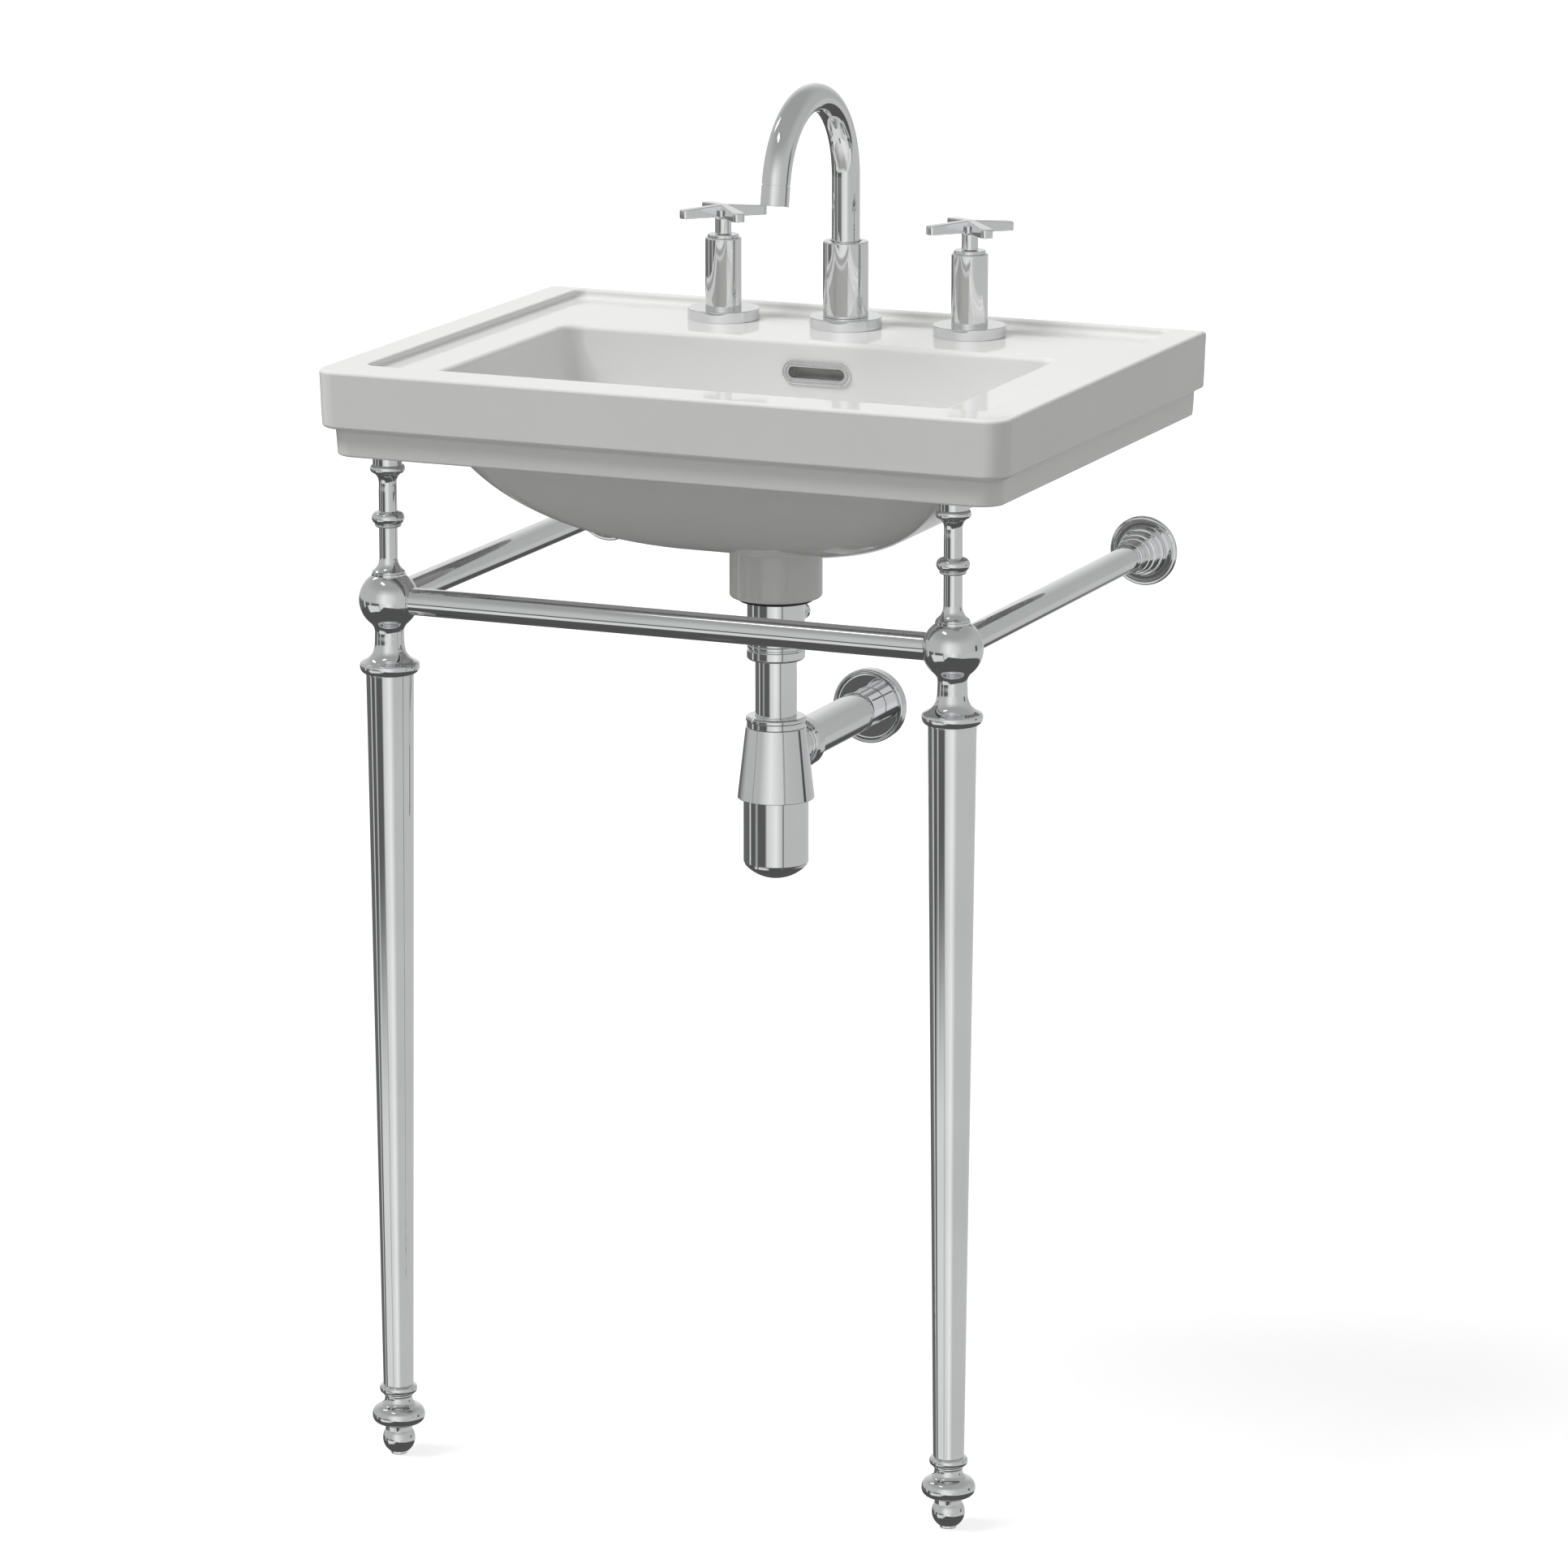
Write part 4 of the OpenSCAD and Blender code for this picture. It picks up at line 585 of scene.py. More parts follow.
overflow_ring = turned(
    "overflow_ring_rolled",
    softened(
        (6.25, 0.0, 0.3), (6.25, 7.0), (9.5, 7.0, 0.3), (9.5, 10.3, 1.4),
        (7.6, 10.3, 0.5), (7.2, 9.7, 0.2), (6.7, 9.7, 0.2), (6.3, 10.2, 0.5),
        (4.25, 10.2, 0.8), (4.25, 0.0, 0.3),
    ),
)
placed(overflow_ring, turn=(0.0, 0.0, 1.875))
for way in (-1, 1):
    pick_points(overflow_ring, lambda point: point.x * way > 0.0, True)
    bpy.ops.transform.translate(value=(way * RING_REACH * MM, 0.0, 0.0))
    bpy.ops.object.mode_set(mode="OBJECT")
placed(overflow_ring, OVERFLOW[0], 94.3, OVERFLOW[1], OFF_THE_WALL)
plated(overflow_ring, "overflow_ring")


# ----------------------------------------------------------------------
# Tap flanges: three thick brass discs, faced on the lathe and plated, that sit
# on the ledge and hide its holes. Each is clamped by the shank under it.
# ----------------------------------------------------------------------
for side, x in TAP_ROW:
    lip = [(14.4, 856.7, 0.15), (14.4, 854.2), (16.6, 854.2)]
    if side == "spout":
        lip = [(16.6, 856.7)]
    flange = turned(
        side + "_flange_disc",
        softened((16.6, LEDGE), (28.5, LEDGE, 0.3), (28.5, 856.7, 0.7), *lip),
    )
    plated(placed(flange, x, TAPS_Y), side + "_flange")


# ----------------------------------------------------------------------
# Valve bodies: turned brass columns over the ledge, threaded shanks and tails
# under it, and a stub to each for the hose to the spout. They are screwed up
# against the ledge by the nuts below.
# ----------------------------------------------------------------------
def thread(radius, bottom, top, pitch=1.5):
    """Corners of a cut thread, from its bottom to its top."""
    corners = []
    for k in range(int((top - bottom) / pitch)):
        corners += [
            (radius, bottom + k * pitch + 0.35 * pitch),
            (radius - 0.45 * pitch, bottom + k * pitch + 0.75 * pitch),
        ]
    return corners


HOSE_Z = 804.0


def hose_stub(name, direction):
    """A short tube along x for a hose, with a rolled lip at its end."""
    stub = turned(
        name,
        softened(
            (4.0, 9.0), (6.0, 9.0), (6.0, 22.5), (5.6, 22.9, 0.2), (5.6, 23.6, 0.2),
            (6.0, 24.0, 0.2), (6.0, 26.0, 0.4), (4.0, 26.0, 0.4),
        ),
        48,
    )
    return placed(stub, z=HOSE_Z, turn=(0.0, 90.0 * direction, 0.0))


for side, x in (TAP_ROW[0], TAP_ROW[2]):
    body = turned(
        side + "_valve_column",
        softened(
            (7.0, 777.0, 0.3), (10.4, 777.0, 0.8),
            *thread(10.4, 778.5, 793.0),
            (10.4, 795.0), (13.0, 795.0, 0.8), (13.0, 813.0, 0.4), (16.5, 813.0, 0.8),
            *thread(16.5, 815.0, 834.0),
            (16.5, 854.1, 0.3), (14.3, 854.1), (14.3, 912.7, 1.1), (10.1, 912.7, 0.2),
            (10.1, 865.0), (7.0, 865.0),
        ),
    )
    cut_or_joined(body, hose_stub("stub", 1 if x < 0 else -1), "UNION")
    plated(placed(body, x, TAPS_Y), side + "_valve_body")


# ----------------------------------------------------------------------
# Bonnets: thin plated caps, a little narrower than the columns, that screw
# down on the cartridges and leave a fine dark joint over each column.
# ----------------------------------------------------------------------
for side, x in (TAP_ROW[0], TAP_ROW[2]):
    bonnet = turned(
        side + "_bonnet_cap",
        softened(
            (4.1, 900.2), (10.0, 900.2), (10.0, 912.75), (11.9, 912.75), (11.9, 913.0),
            (12.45, 913.1, 0.1), (12.45, 915.2, 0.6), (4.1, 915.2, 0.2),
        ),
    )
    plated(placed(bonnet, x, TAPS_Y), side + "_bonnet")


# ----------------------------------------------------------------------
# Cross handles: forged in one with their necks, four arms that widen and get
# thinner towards rounded tips, polished flat on top. A grub screw in the neck
# holds each on its spindle.
# ----------------------------------------------------------------------
ARM_REACH, ARM_TIP, ARM_FLAT, ARM_WAIST = 36.0, 3.6, 1.4, 3.0
ARM_BOTTOM, ARM_RIDGE, ARM_FALL, ARM_STOCK = 928.7, 938.7, 2.9, 12.0


def handle_bar():
    """Two opposite arms as one bar along x, with a low ridge over its middle."""
    plan = []
    for way in (1, -1):
        for angle in np.linspace(-90.0, 90.0, 15):
            turn = math.radians(angle)
            for across in (-ARM_FLAT, ARM_FLAT):
                if across * angle < -1e-6:
                    continue
                out = ARM_REACH - ARM_TIP + ARM_TIP * math.cos(turn)
                plan.append(
                    (way * out, way * (across + ARM_TIP * math.sin(turn)), ARM_BOTTOM)
                )
        plan.append((0.0, way * ARM_WAIST, ARM_BOTTOM))
    bar = drawn("handle_bar", plan + plan[:1])
    bpy.ops.mesh.remove_doubles(threshold=1e-6)
    bpy.ops.mesh.edge_face_add()
    bpy.ops.mesh.extrude_region_move(
        TRANSFORM_OT_translate={"value": (0, 0, ARM_STOCK * MM)}
    )
    for way in (1, -1):
        bpy.ops.mesh.select_all(action="SELECT")
        bpy.ops.mesh.bisect(
            plane_co=(0.0, 0.0, ARM_RIDGE * MM),
            plane_no=(way * ARM_FALL / ARM_REACH, 0.0, 1.0),
            use_fill=True,
            clear_outer=True,
        )
    welded()
    picked(bar)
    edge = bar.modifiers.new("polished_edge", "BEVEL")
    edge.width = 0.9 * MM
    edge.segments = 4
    edge.limit_method = "ANGLE"
    edge.angle_limit = math.radians(40.0)
    bpy.ops.object.modifier_apply(modifier=edge.name)
    return bar


def twin(piece, name):
    """A second piece of the same pattern, with a mesh of its own."""
    copy = piece.copy()
    copy.data = piece.data.copy()
    copy.name = name
    bpy.context.scene.collection.objects.link(copy)
    return copy


cross_handle = turned(
    "hot_cross_handle",
    softened(
        (0.0, 915.5), (6.5, 915.5, 0.4), (6.5, 927.6, 1.0), (7.7, 929.2, 0.6),
        (7.7, 934.6, 0.5), (0.0, 934.6),
    ),
)
for angle in (45.0, 135.0):
    cut_or_joined(cross_handle, placed(handle_bar(), turn=(0.0, 0.0, angle)), "UNION")
other_handle = twin(cross_handle, "cold_cross_handle")
plated(placed(cross_handle, -VALVES_X, TAPS_Y), "hot_handle", "hot_handle", 24.0)
plated(placed(other_handle, VALVES_X, TAPS_Y), "cold_handle", "cold_handle", 24.0)


# ----------------------------------------------------------------------
# The spout's column: a turned brass socket, threaded below the ledge like the
# valves, with a recess round its mouth where the swinging tube drops in.
# ----------------------------------------------------------------------
column = turned(
    "spout_column",
    softened(
        (0.0, 795.0), (13.0, 795.0, 0.8), (13.0, 813.0, 0.4), (16.5, 813.0, 0.8),
        *thread(16.5, 815.0, 834.0),
        (16.5, 856.7), (17.85, 856.8, 0.2), (17.85, 916.1, 1.1), (12.3, 916.1, 0.3),
        (12.3, 914.6), (11.16, 914.6), (11.16, 876.0), (7.0, 876.0), (7.0, 798.0),
        (0.0, 798.0),
    ),
)
for way in (1, -1):
    cut_or_joined(column, hose_stub("stub", way), "UNION")
plated(placed(column, 0.0, TAPS_Y), "spout_base")


# ----------------------------------------------------------------------
# The spout: a drawn brass tube, bent over a former through most of a half
# circle and plated. It swings in its column; the nozzle is screwed on its end
# with a fine joint showing, and holds the flow straightener.
# ----------------------------------------------------------------------
SPOUT_FOOT, BEND_Y, BEND_Z = 876.1, 88.7, 966.9
NOZZLE_Y, NOZZLE_Z, NOZZLE_TILT = 19.96, 979.02, -10.0
TUBE_OUT, TUBE_IN = 11.1, 9.5

deselect()
bpy.ops.mesh.primitive_circle_add(
    vertices=96, radius=TUBE_OUT * MM, location=Vector((0.0, TAPS_Y, SPOUT_FOOT)) * MM
)
spout = bpy.context.object
spout.name = "spout_swan_neck"
bpy.ops.object.transform_apply()
bpy.ops.object.mode_set(mode="EDIT")
bpy.ops.mesh.select_all(action="SELECT")
bpy.ops.mesh.duplicate()
bpy.ops.transform.resize(
    value=(TUBE_IN / TUBE_OUT, TUBE_IN / TUBE_OUT, 1.0),
    center_override=Vector((0.0, TAPS_Y, SPOUT_FOOT)) * MM,
)
bpy.ops.mesh.select_all(action="SELECT")
bpy.ops.mesh.extrude_region_move(
    TRANSFORM_OT_translate={"value": (0.0, 0.0, (BEND_Z - SPOUT_FOOT) * MM)}
)
bpy.ops.mesh.spin(
    steps=84,
    angle=math.radians(-170.0),
    center=Vector((0.0, BEND_Y, BEND_Z)) * MM,
    axis=(1, 0, 0),
)
bpy.ops.mesh.bridge_edge_loops()
bpy.ops.object.mode_set(mode="OBJECT")
pick_points(spout, lambda point: point.z < (SPOUT_FOOT + 0.1) * MM)
bpy.ops.mesh.bridge_edge_loops()
welded()
plated(spout, "spout", "spout")

nozzle = turned(
    "spout_nozzle_sleeve",
    softened(
        (TUBE_IN, 0.0), (10.4, 0.0), (10.4, -0.7), (TUBE_OUT, -0.8, 0.1),
        (TUBE_OUT, -16.7, 0.5), (TUBE_IN, -16.7, 0.4),
    ),
)
placed(nozzle, 0.0, NOZZLE_Y, NOZZLE_Z, (NOZZLE_TILT, 0.0, 0.0))
plated(nozzle, "spout_nozzle", "spout")


# ----------------------------------------------------------------------
# The waste: a plated brass flange with its sleeve and guide cross, dropped
# through the outlet from above, and the domed plug whose stem slides in it.
# ----------------------------------------------------------------------
waste = turned(
    "waste_flange_ring",
    softened(
        (18.6, 672.0), (20.4, 672.0, 0.3), (20.4, 714.0), (31.0, 714.0, 0.2),
        (31.0, 717.0, 0.9), (21.3, 717.0, 0.3), (21.3, 715.8), (18.6, 715.8, 0.3),
    ),
)
for angle in (45.0, 135.0):
    guide = soft_block((-19.3, -1.5, 702.0), (19.3, 1.5, 710.0), 0.4)
    cut_or_joined(waste, placed(guide, turn=(0.0, 0.0, angle)), "UNION")
hub = turned("hub", softened((0, 701), (6.5, 701, 0.5), (6.5, 711, 0.5), (0, 711)))
cut_or_joined(waste, hub, "UNION")
cut_or_joined(waste, round_bar(4.1, (0, 0, 695), (0, 0, 714)), "DIFFERENCE")
plated(placed(waste, 0.0, OUTLET_Y), "waste_flange")

stem = [(0.0, 681.8), (4.0, 681.8, 0.7), (4.0, 715.8, 0.3)]
dome = [(21.0 * math.cos(a), 718.3 + 2.5 * math.sin(a)) for a in swept(0, 90, 24)]
plug = turned("waste_plug_dome", softened(*stem, (21.0, 715.8, 0.4), dome[0])[:-1] + dome)
plated(placed(plug, 0.0, OUTLET_Y), "waste_plug", "plug")


# ----------------------------------------------------------------------
# The waste's body: a plated tube clamped up under the boss, with a short port
# at its back whose knurled nut closes it.
# ----------------------------------------------------------------------
TO_THE_WALL = (-90.0, 0.0, 0.0)
PORT_Z = 638.2

tail = turned(
    "waste_tail",
    softened(
        (16.2, 616.0), (19.4, 616.0, 0.4), (19.4, 622.0), (22.3, 622.0, 0.5),
        (22.3, 656.3, 0.5), (21.5, 656.3), (21.5, 682.3, 0.4), (20.6, 682.3),
        (20.6, 671.9), (18.6, 671.9), (18.6, 638.2), (16.2, 638.2),
    ),
)
port = turned("port", softened((3.0, 20.5), (4.5, 20.5), (4.5, 49.6), (3.0, 49.6)), 48)
cut_or_joined(tail, placed(port, z=PORT_Z, turn=TO_THE_WALL), "UNION")
plated(placed(tail, 0.0, OUTLET_Y), "waste_body")

port_nut = turned(
    "side_port_knurled_nut",
    softened(
        (4.6, 0.0), (6.4, 0.0, 0.4), (7.0, 0.8), (7.0, 12.6), (6.2, 13.4, 0.2),
        (6.2, 14.2, 0.2), (7.0, 15.0), (7.0, 17.0, 0.7), (0.0, 17.0), (0.0, 14.0),
        (4.6, 14.0),
    ),
    72,
)


def on_a_furrow(point):
    """Every second row of points on the nut's wide rim, for its knurling."""
    row = round(math.degrees(math.atan2(point.y, point.x)) / 5.0)
    wide = Vector((point.x, point.y)).length > 6.9 * MM
    return wide and point.z < 12.9 * MM and row % 2 == 0


pick_points(port_nut, on_a_furrow)
bpy.ops.transform.resize(value=(0.95, 0.95, 1.0), center_override=(0, 0, 0))
bpy.ops.object.mode_set(mode="OBJECT")
placed(port_nut, 0.0, OUTLET_Y + 35.6, PORT_Z, TO_THE_WALL)
plated(port_nut, "side_port_nut", degrees=5.0)


# ----------------------------------------------------------------------
# The bottle trap: plated brass tubes, a bell with its cup screwed up into it,
# and three ring nuts that squeeze rubber rings round the tubes.
# ----------------------------------------------------------------------
def trap_piece(node, name, outline, y=0.0, z=0.0, turn=(0.0, 0.0, 0.0), add=None):
    """A turning of the trap, with an arm joined on before it is plated."""
    piece = turned(name, outline)
    if add:
        cut_or_joined(piece, add, "UNION")
    return plated(placed(piece, 0.0, OUTLET_Y + y, z, turn), node)


TRAP_OUTLET = 534.2

trap_piece(
    "tail_nut",
    "tail_ring_nut",
    softened(
        (16.2, 610.0, 0.3), (21.2, 610.0, 1.2), (22.6, 611.4, 0.9), (22.6, 617.4, 0.5),
        (21.5, 617.9, 0.2), (21.5, 618.8, 0.2), (22.3, 619.3, 0.5), (22.3, 622.0, 0.9),
        (19.5, 622.0), (19.5, 613.0), (16.2, 613.0),
    ),
)
trap_piece(
    "inlet_tube",
    "trap_inlet_pipe",
    softened((14.9, 472.0, 0.3), (16.1, 472.0, 0.3), (16.1, 632.0), (14.9, 632.0)),
)
trap_piece(
    "trap_nut",
    "trap_ring_nut",
    softened(
        (19.5, 556.6), (22.7, 556.6, 0.3), (22.7, 561.0, 0.2), (23.5, 561.6, 0.6),
        (23.5, 563.9, 1.1), (22.2, 565.1, 1.0), (16.2, 565.1, 0.5), (16.2, 562.1),
        (19.5, 562.1),
    ),
)
stub = turned("stub", softened((15.3, 22.0), (16.9, 22.0), (16.9, 46.0), (15.3, 46.0)))
trap_piece(
    "trap_bell",
    "trap_cone_bell",
    softened(
        (25.4, 500.0, 0.3), (30.0, 500.0, 0.5), (23.5, 556.5, 0.5), (19.4, 556.5),
        (19.4, 561.5), (16.2, 561.5), (16.2, 550.5), (19.8, 550.5), (19.8, 522.0),
        (21.6, 522.0), (21.6, 510.0), (25.4, 510.0),
    ),
    add=placed(stub, z=TRAP_OUTLET, turn=TO_THE_WALL),
)
cup_radius, cup_rise = 25.3, 12.0
dome_radius = (cup_radius**2 + cup_rise**2) / (2 * cup_rise)
dome_reach = math.degrees(math.asin((cup_radius - 1.0) / dome_radius))
cup_bottom = [
    (dome_radius * math.sin(a), 436.0 + dome_radius * (1.0 - math.cos(a)))
    for a in swept(0, dome_reach, 22)
]
trap_piece(
    "trap_cup",
    "trap_cleaning_cup",
    cup_bottom
    + softened(
        (0.0, 447.4), (cup_radius, 448.6, 0.8), (cup_radius, 509.9), (21.5, 509.9),
        (21.5, 521.9), (19.7, 521.9), (19.7, 451.0), (0.0, 451.0),
    )[1:],
)
trap_piece(
    "outlet_nut",
    "outlet_ring_nut",
    softened(
        (17.0, 0.0, 0.2), (19.0, 0.0, 1.0), (20.5, 2.4, 1.2), (20.5, 11.4, 1.8),
        (18.4, 13.6, 0.7), (18.1, 15.0, 0.5), (16.2, 15.0, 0.3), (16.2, 12.0),
        (17.0, 12.0),
    ),
    39.0,
    TRAP_OUTLET,
    TO_THE_WALL,
)
trap_piece(
    "outlet_pipe",
    "trap_outlet_pipe",
    softened(
        (15.25, 0.0), (16.1, 0.0), (16.1, 119.4, 0.2), (16.5, 119.8, 0.3),
        (16.5, 121.8, 0.5), (15.3, 122.0, 0.2), (15.25, 119.0),
    ),
    38.0,
    TRAP_OUTLET,
    TO_THE_WALL,
)
trap_piece(
    "wall_pipe",
    "drain_pipe_to_wall",
    softened((14.15, 0.0, 0.2), (15.15, 0.0, 0.2), (15.15, 85.2), (14.15, 85.2)),
    110.0,
    TRAP_OUTLET,
    TO_THE_WALL,
)
trap_piece(
    "wall_plate",
    "wall_cover_plate",
    softened(
        (28.2, 0.0), (30.0, 0.0, 0.3), (30.0, 9.5, 1.7), (27.3, 9.5, 1.2),
        (26.2, 7.6, 0.5), (25.0, 7.4), (15.3, 7.4, 0.3), (15.3, 5.6), (28.2, 5.6),
    ),
    WALL - OUTLET_Y,
    TRAP_OUTLET,
    OFF_THE_WALL,
)


# ----------------------------------------------------------------------
# The legs: each is an upper stem with beads, a joint ball that takes the
# rails, a tapered tube and a turned foot with a levelling pad, all of plated
# brass and screwed end to end.
# ----------------------------------------------------------------------
LEG_X, LEG_Y, RAIL_Z = 230.0, -188.2, 677.4


def eased(start, way, end, end_way, steps=14):
    """A smooth bend in an outline, leaving along one way and ending along another."""
    start, end = np.array(start, float), np.array(end, float)
    reach = 0.42 * np.linalg.norm(end - start)
    first = start + reach * np.array(way, float) / np.linalg.norm(way)
    second = end - reach * np.array(end_way, float) / np.linalg.norm(end_way)
    curve = []
    for t in np.linspace(0.0, 1.0, steps + 1):
        u = 1.0 - t
        curve.append(
            u**3 * start + 3 * u * u * t * first + 3 * u * t * t * second + t**3 * end
        )
    return curve


def rounded_bead(core, outer, height, half, first=90, last=-90):
    return [
        (core + (outer - core) * math.cos(a), height + half * math.sin(a))
        for a in swept(first, last, 14)
    ]


upper_stem = (
    [(0.0, 787.5), (11.0, 787.5), (11.15, 787.3), (11.15, 781.6), (11.5, 781.2)]
    + rounded_bead(11.6, 13.3, 778.4, 2.8)
    + eased((11.5, 775.4), (-1.0, -0.5), (7.0, 760.0), (0.0, -1.0))
    + [(7.0, 745.9), (7.9, 745.6)]
    + rounded_bead(7.9, 12.5, 740.6, 4.9, 88, -50)
    + [(10.5, 736.4), (10.1, 736.2), (10.1, 735.8)]
    + rounded_bead(8.4, 10.1, 734.9, 1.3, 40, -90)
    + [(7.0, 733.4)]
    + eased((7.0, 711.0), (0.0, -1.0), (12.4, 699.6), (0.8, -0.6))
    + [(12.4, 699.1), (11.9, 698.8), (11.9, 698.4), (12.9, 698.2), (13.1, 698.0)]
    + [(13.1, 696.5), (12.9, 696.3), (0.0, 696.3)]
)
ball = [
    (22.9 * math.cos(a), RAIL_Z + 22.9 * math.sin(a))
    for a in swept(math.degrees(math.asin(18.99 / 22.9)), -50, 40)
]
joint_ball = (
    [(0.0, 696.39)]
    + ball
    + eased(ball[-1], (-0.766, -0.643), (11.3, 645.0), (0.0, -1.0), 18)[1:]
    + eased((11.3, 645.0), (0.0, -1.0), (20.9, 629.6), (1.0, -0.42), 18)[1:]
    + eased((20.9, 629.6), (1.0, -0.3), (22.8, 626.4), (0.0, -1.0), 8)[1:]
    + eased((22.8, 626.4), (0.0, -1.0), (19.2, 620.9), (-1.0, -0.25), 10)[1:]
    + [(18.7, 620.7), (18.7, 620.0), (0.0, 620.0)]
)
leg_tube = softened(
    (6.1, 56.0), (11.65, 56.0, 0.3), (18.1, 620.0, 0.3), (8.1, 620.0), (8.1, 617.5),
    (15.6, 617.5), (9.2, 80.2), (6.1, 80.2),
)
foot = (
    [(0.0, 56.0), (12.2, 56.0)]
    + eased((12.2, 55.9), (1.0, 0.0), (14.45, 52.6), (0.0, -1.0), 8)
    + eased((14.45, 52.6), (0.0, -1.0), (12.0, 49.4), (-1.0, -0.2), 8)[1:]
    + [(11.9, 48.9), (11.4, 48.6), (11.4, 47.8), (10.8, 47.5)]
    + eased((10.55, 46.8), (0.0, -1.0), (14.2, 39.6), (1.0, -0.42), 12)
    + eased((14.2, 39.6), (1.0, -0.38), (20.35, 31.4), (0.0, -1.0), 14)[1:]
    + eased((20.35, 31.4), (0.0, -1.0), (12.4, 24.4), (-1.0, -0.12), 12)[1:]
    + [(11.8, 24.2), (11.6, 23.4), (10.55, 23.2), (10.4, 20.2)]
    + [(12.55 * math.cos(a), 12.5 + 12.55 * math.sin(a)) for a in swept(34, -52.8, 30)]
    + [(4.1, 2.5), (4.1, 25.0), (0.0, 25.0)]
)
foot_pad = softened(
    (0.0, 0.0), (6.3, 0.0, 0.5), (6.3, 2.5, 0.3), (4.0, 2.5), (4.0, 24.5, 0.5), (0.0, 24.5)
)
LEG_PIECES = (
    ("upper_stem", "beaded_stem", upper_stem, "sink"),
    ("ball_joint", "rail_ball", joint_ball, "sink"),
    ("leg_tube", "tapered_leg", leg_tube, "sink"),
    ("foot", "turned_foot", foot, "sink"),
    ("foot_pad", "levelling_pad", foot_pad, None),
)
for node, name, outline, body in LEG_PIECES:
    left = turned("left_" + name, outline)
    right = twin(left, "right_" + name)
    for side, piece, x in (("left", left, -LEG_X), ("right", right, LEG_X)):
        placed(piece, x, LEG_Y)
        plated(piece, side + "_" + node, body or side + "_pad", 28.0)


# ----------------------------------------------------------------------
# The rails: three thin drawn tubes, plated, that hold the legs apart and tie
# them to the wall. Their ends sit in sockets in the balls and the rosettes.
# ----------------------------------------------------------------------
def rail(node, name, length, x, y, turn):
    tube = turned(name, softened((9.0, 0.0), (10.5, 0.0), (10.5, length), (9.0, length)))
    return plated(placed(tube, x, y, RAIL_Z, turn), node)


rail("front_rail", "front_towel_rail", 438.0, -219.0, LEG_Y, (0.0, 90.0, 0.0))
for side, x in (("left", -LEG_X), ("right", LEG_X)):
    rail(side + "_side_rail", side + "_rail_to_wall", 380.2, x, LEG_Y + 11.0, TO_THE_WALL)


# ----------------------------------------------------------------------
# The rosettes: stepped brass collars, screwed to the wall through their backs
# and plated. Each takes a rail's end in its socket behind a run of fine beads.
# ----------------------------------------------------------------------
def grooves(radius, *heights):
    """Fine turned grooves in a collar, each one small step wide."""
    corners = []
    for height in heights:
        corners += [
            (radius, height - 0.7, 0.7), (radius - 0.6, height - 0.25, 0.1),
            (radius - 0.6, height + 0.25, 0.1), (radius, height + 0.7, 0.7),
        ]
    return corners


rosette_outline = softened(
    (0.0, 0.0), (27.5, 0.0, 0.2), (27.5, 3.0, 1.2), (25.0, 3.2, 0.3), (24.6, 4.4, 0.5),
    (23.1, 4.4, 0.5), (22.8, 3.0, 0.3), (19.6, 3.0, 0.6), (18.8, 8.5, 1.0),
    (16.4, 8.7, 0.4),
    *grooves(16.4, 13.0),
    (16.4, 18.0, 0.9), (14.2, 18.2, 0.4), (14.2, 24.0, 0.9), (12.3, 24.2, 0.4),
    *grooves(12.3, 28.2, 32.4),
    (12.3, 37.0, 0.9), (10.6, 37.0, 0.2), (10.6, 12.0), (0.0, 12.0),
)
left_rosette = turned("left_wall_rosette", rosette_outline)
right_rosette = twin(left_rosette, "right_wall_rosette")
for side, rosette, x in (("left", left_rosette, -LEG_X), ("right", right_rosette, LEG_X)):
    placed(rosette, x, WALL, RAIL_Z, OFF_THE_WALL)
    plated(rosette, side + "_rosette", degrees=28.0)


# ----------------------------------------------------------------------
# Brass and rubber: the nuts, spindles and screws that nobody sees are plain
# machined brass, and the washers and seals are moulded black rubber.
# ----------------------------------------------------------------------
BRASS_TONES = (0.62, 0.46, 0.20), (0.72, 0.56, 0.27)
RUBBER_TONES = (0.018, 0.018, 0.019), (0.03, 0.03, 0.031)
inner_finishes = {
    "chrome": CHROME,
    "brass": one_finish(
        "machined_brass", (30.0, 700.0), (0.22, 0.36), BRASS_TONES, (0.15, 0.0004), 1.0
    ),
    "rubber": one_finish(
        "black_rubber", (40.0, 900.0), (0.55, 0.75), RUBBER_TONES, (0.3, 0.0003), 0.0
    ),
}
for row in frame["record"]["subparts"]:
    node = frame["nodes"][row["node"]]
    if row["material_slot"] in inner_finishes:
        node.data.materials.clear()
        node.data.materials.append(inner_finishes[row["material_slot"]])


# ----------------------------------------------------------------------
# The studio: a broad pale floor on white, one broad light from high on the
# left and a plain grey light all round. Polished metal sees a room with dark
# and light panels and a dark floor, and two small lamps that leave glints.
# ----------------------------------------------------------------------
def grey(level):
    return (level, level, level, 1.0)


deselect()
bpy.ops.mesh.primitive_plane_add(size=40.0)
studio_floor = bpy.context.object
studio_floor.name = "studio_floor"
bpy.ops.object.mode_set(mode="EDIT")
bpy.ops.mesh.subdivide(number_cuts=3)
bpy.ops.object.mode_set(mode="OBJECT")
studio_floor.visible_glossy = False
floor_paint = bpy.data.materials.new("studio_floor_paint")
floor_paint.use_nodes = True
tree = floor_paint.node_tree
paint = tree.nodes["Principled BSDF"]
paint.inputs["Base Color"].default_value = grey(0.34)
paint.inputs["Roughness"].default_value = 1.0
paint.inputs["Specular IOR Level"].default_value = 0.0
place = tree.nodes.new("ShaderNodeTexCoord")
distance = tree.nodes.new("ShaderNodeVectorMath")
distance.operation = "LENGTH"
glow = tree.nodes.new("ShaderNodeMapRange")
glow.interpolation_type = "SMOOTHSTEP"
glow.inputs["From Min"].default_value = 0.8
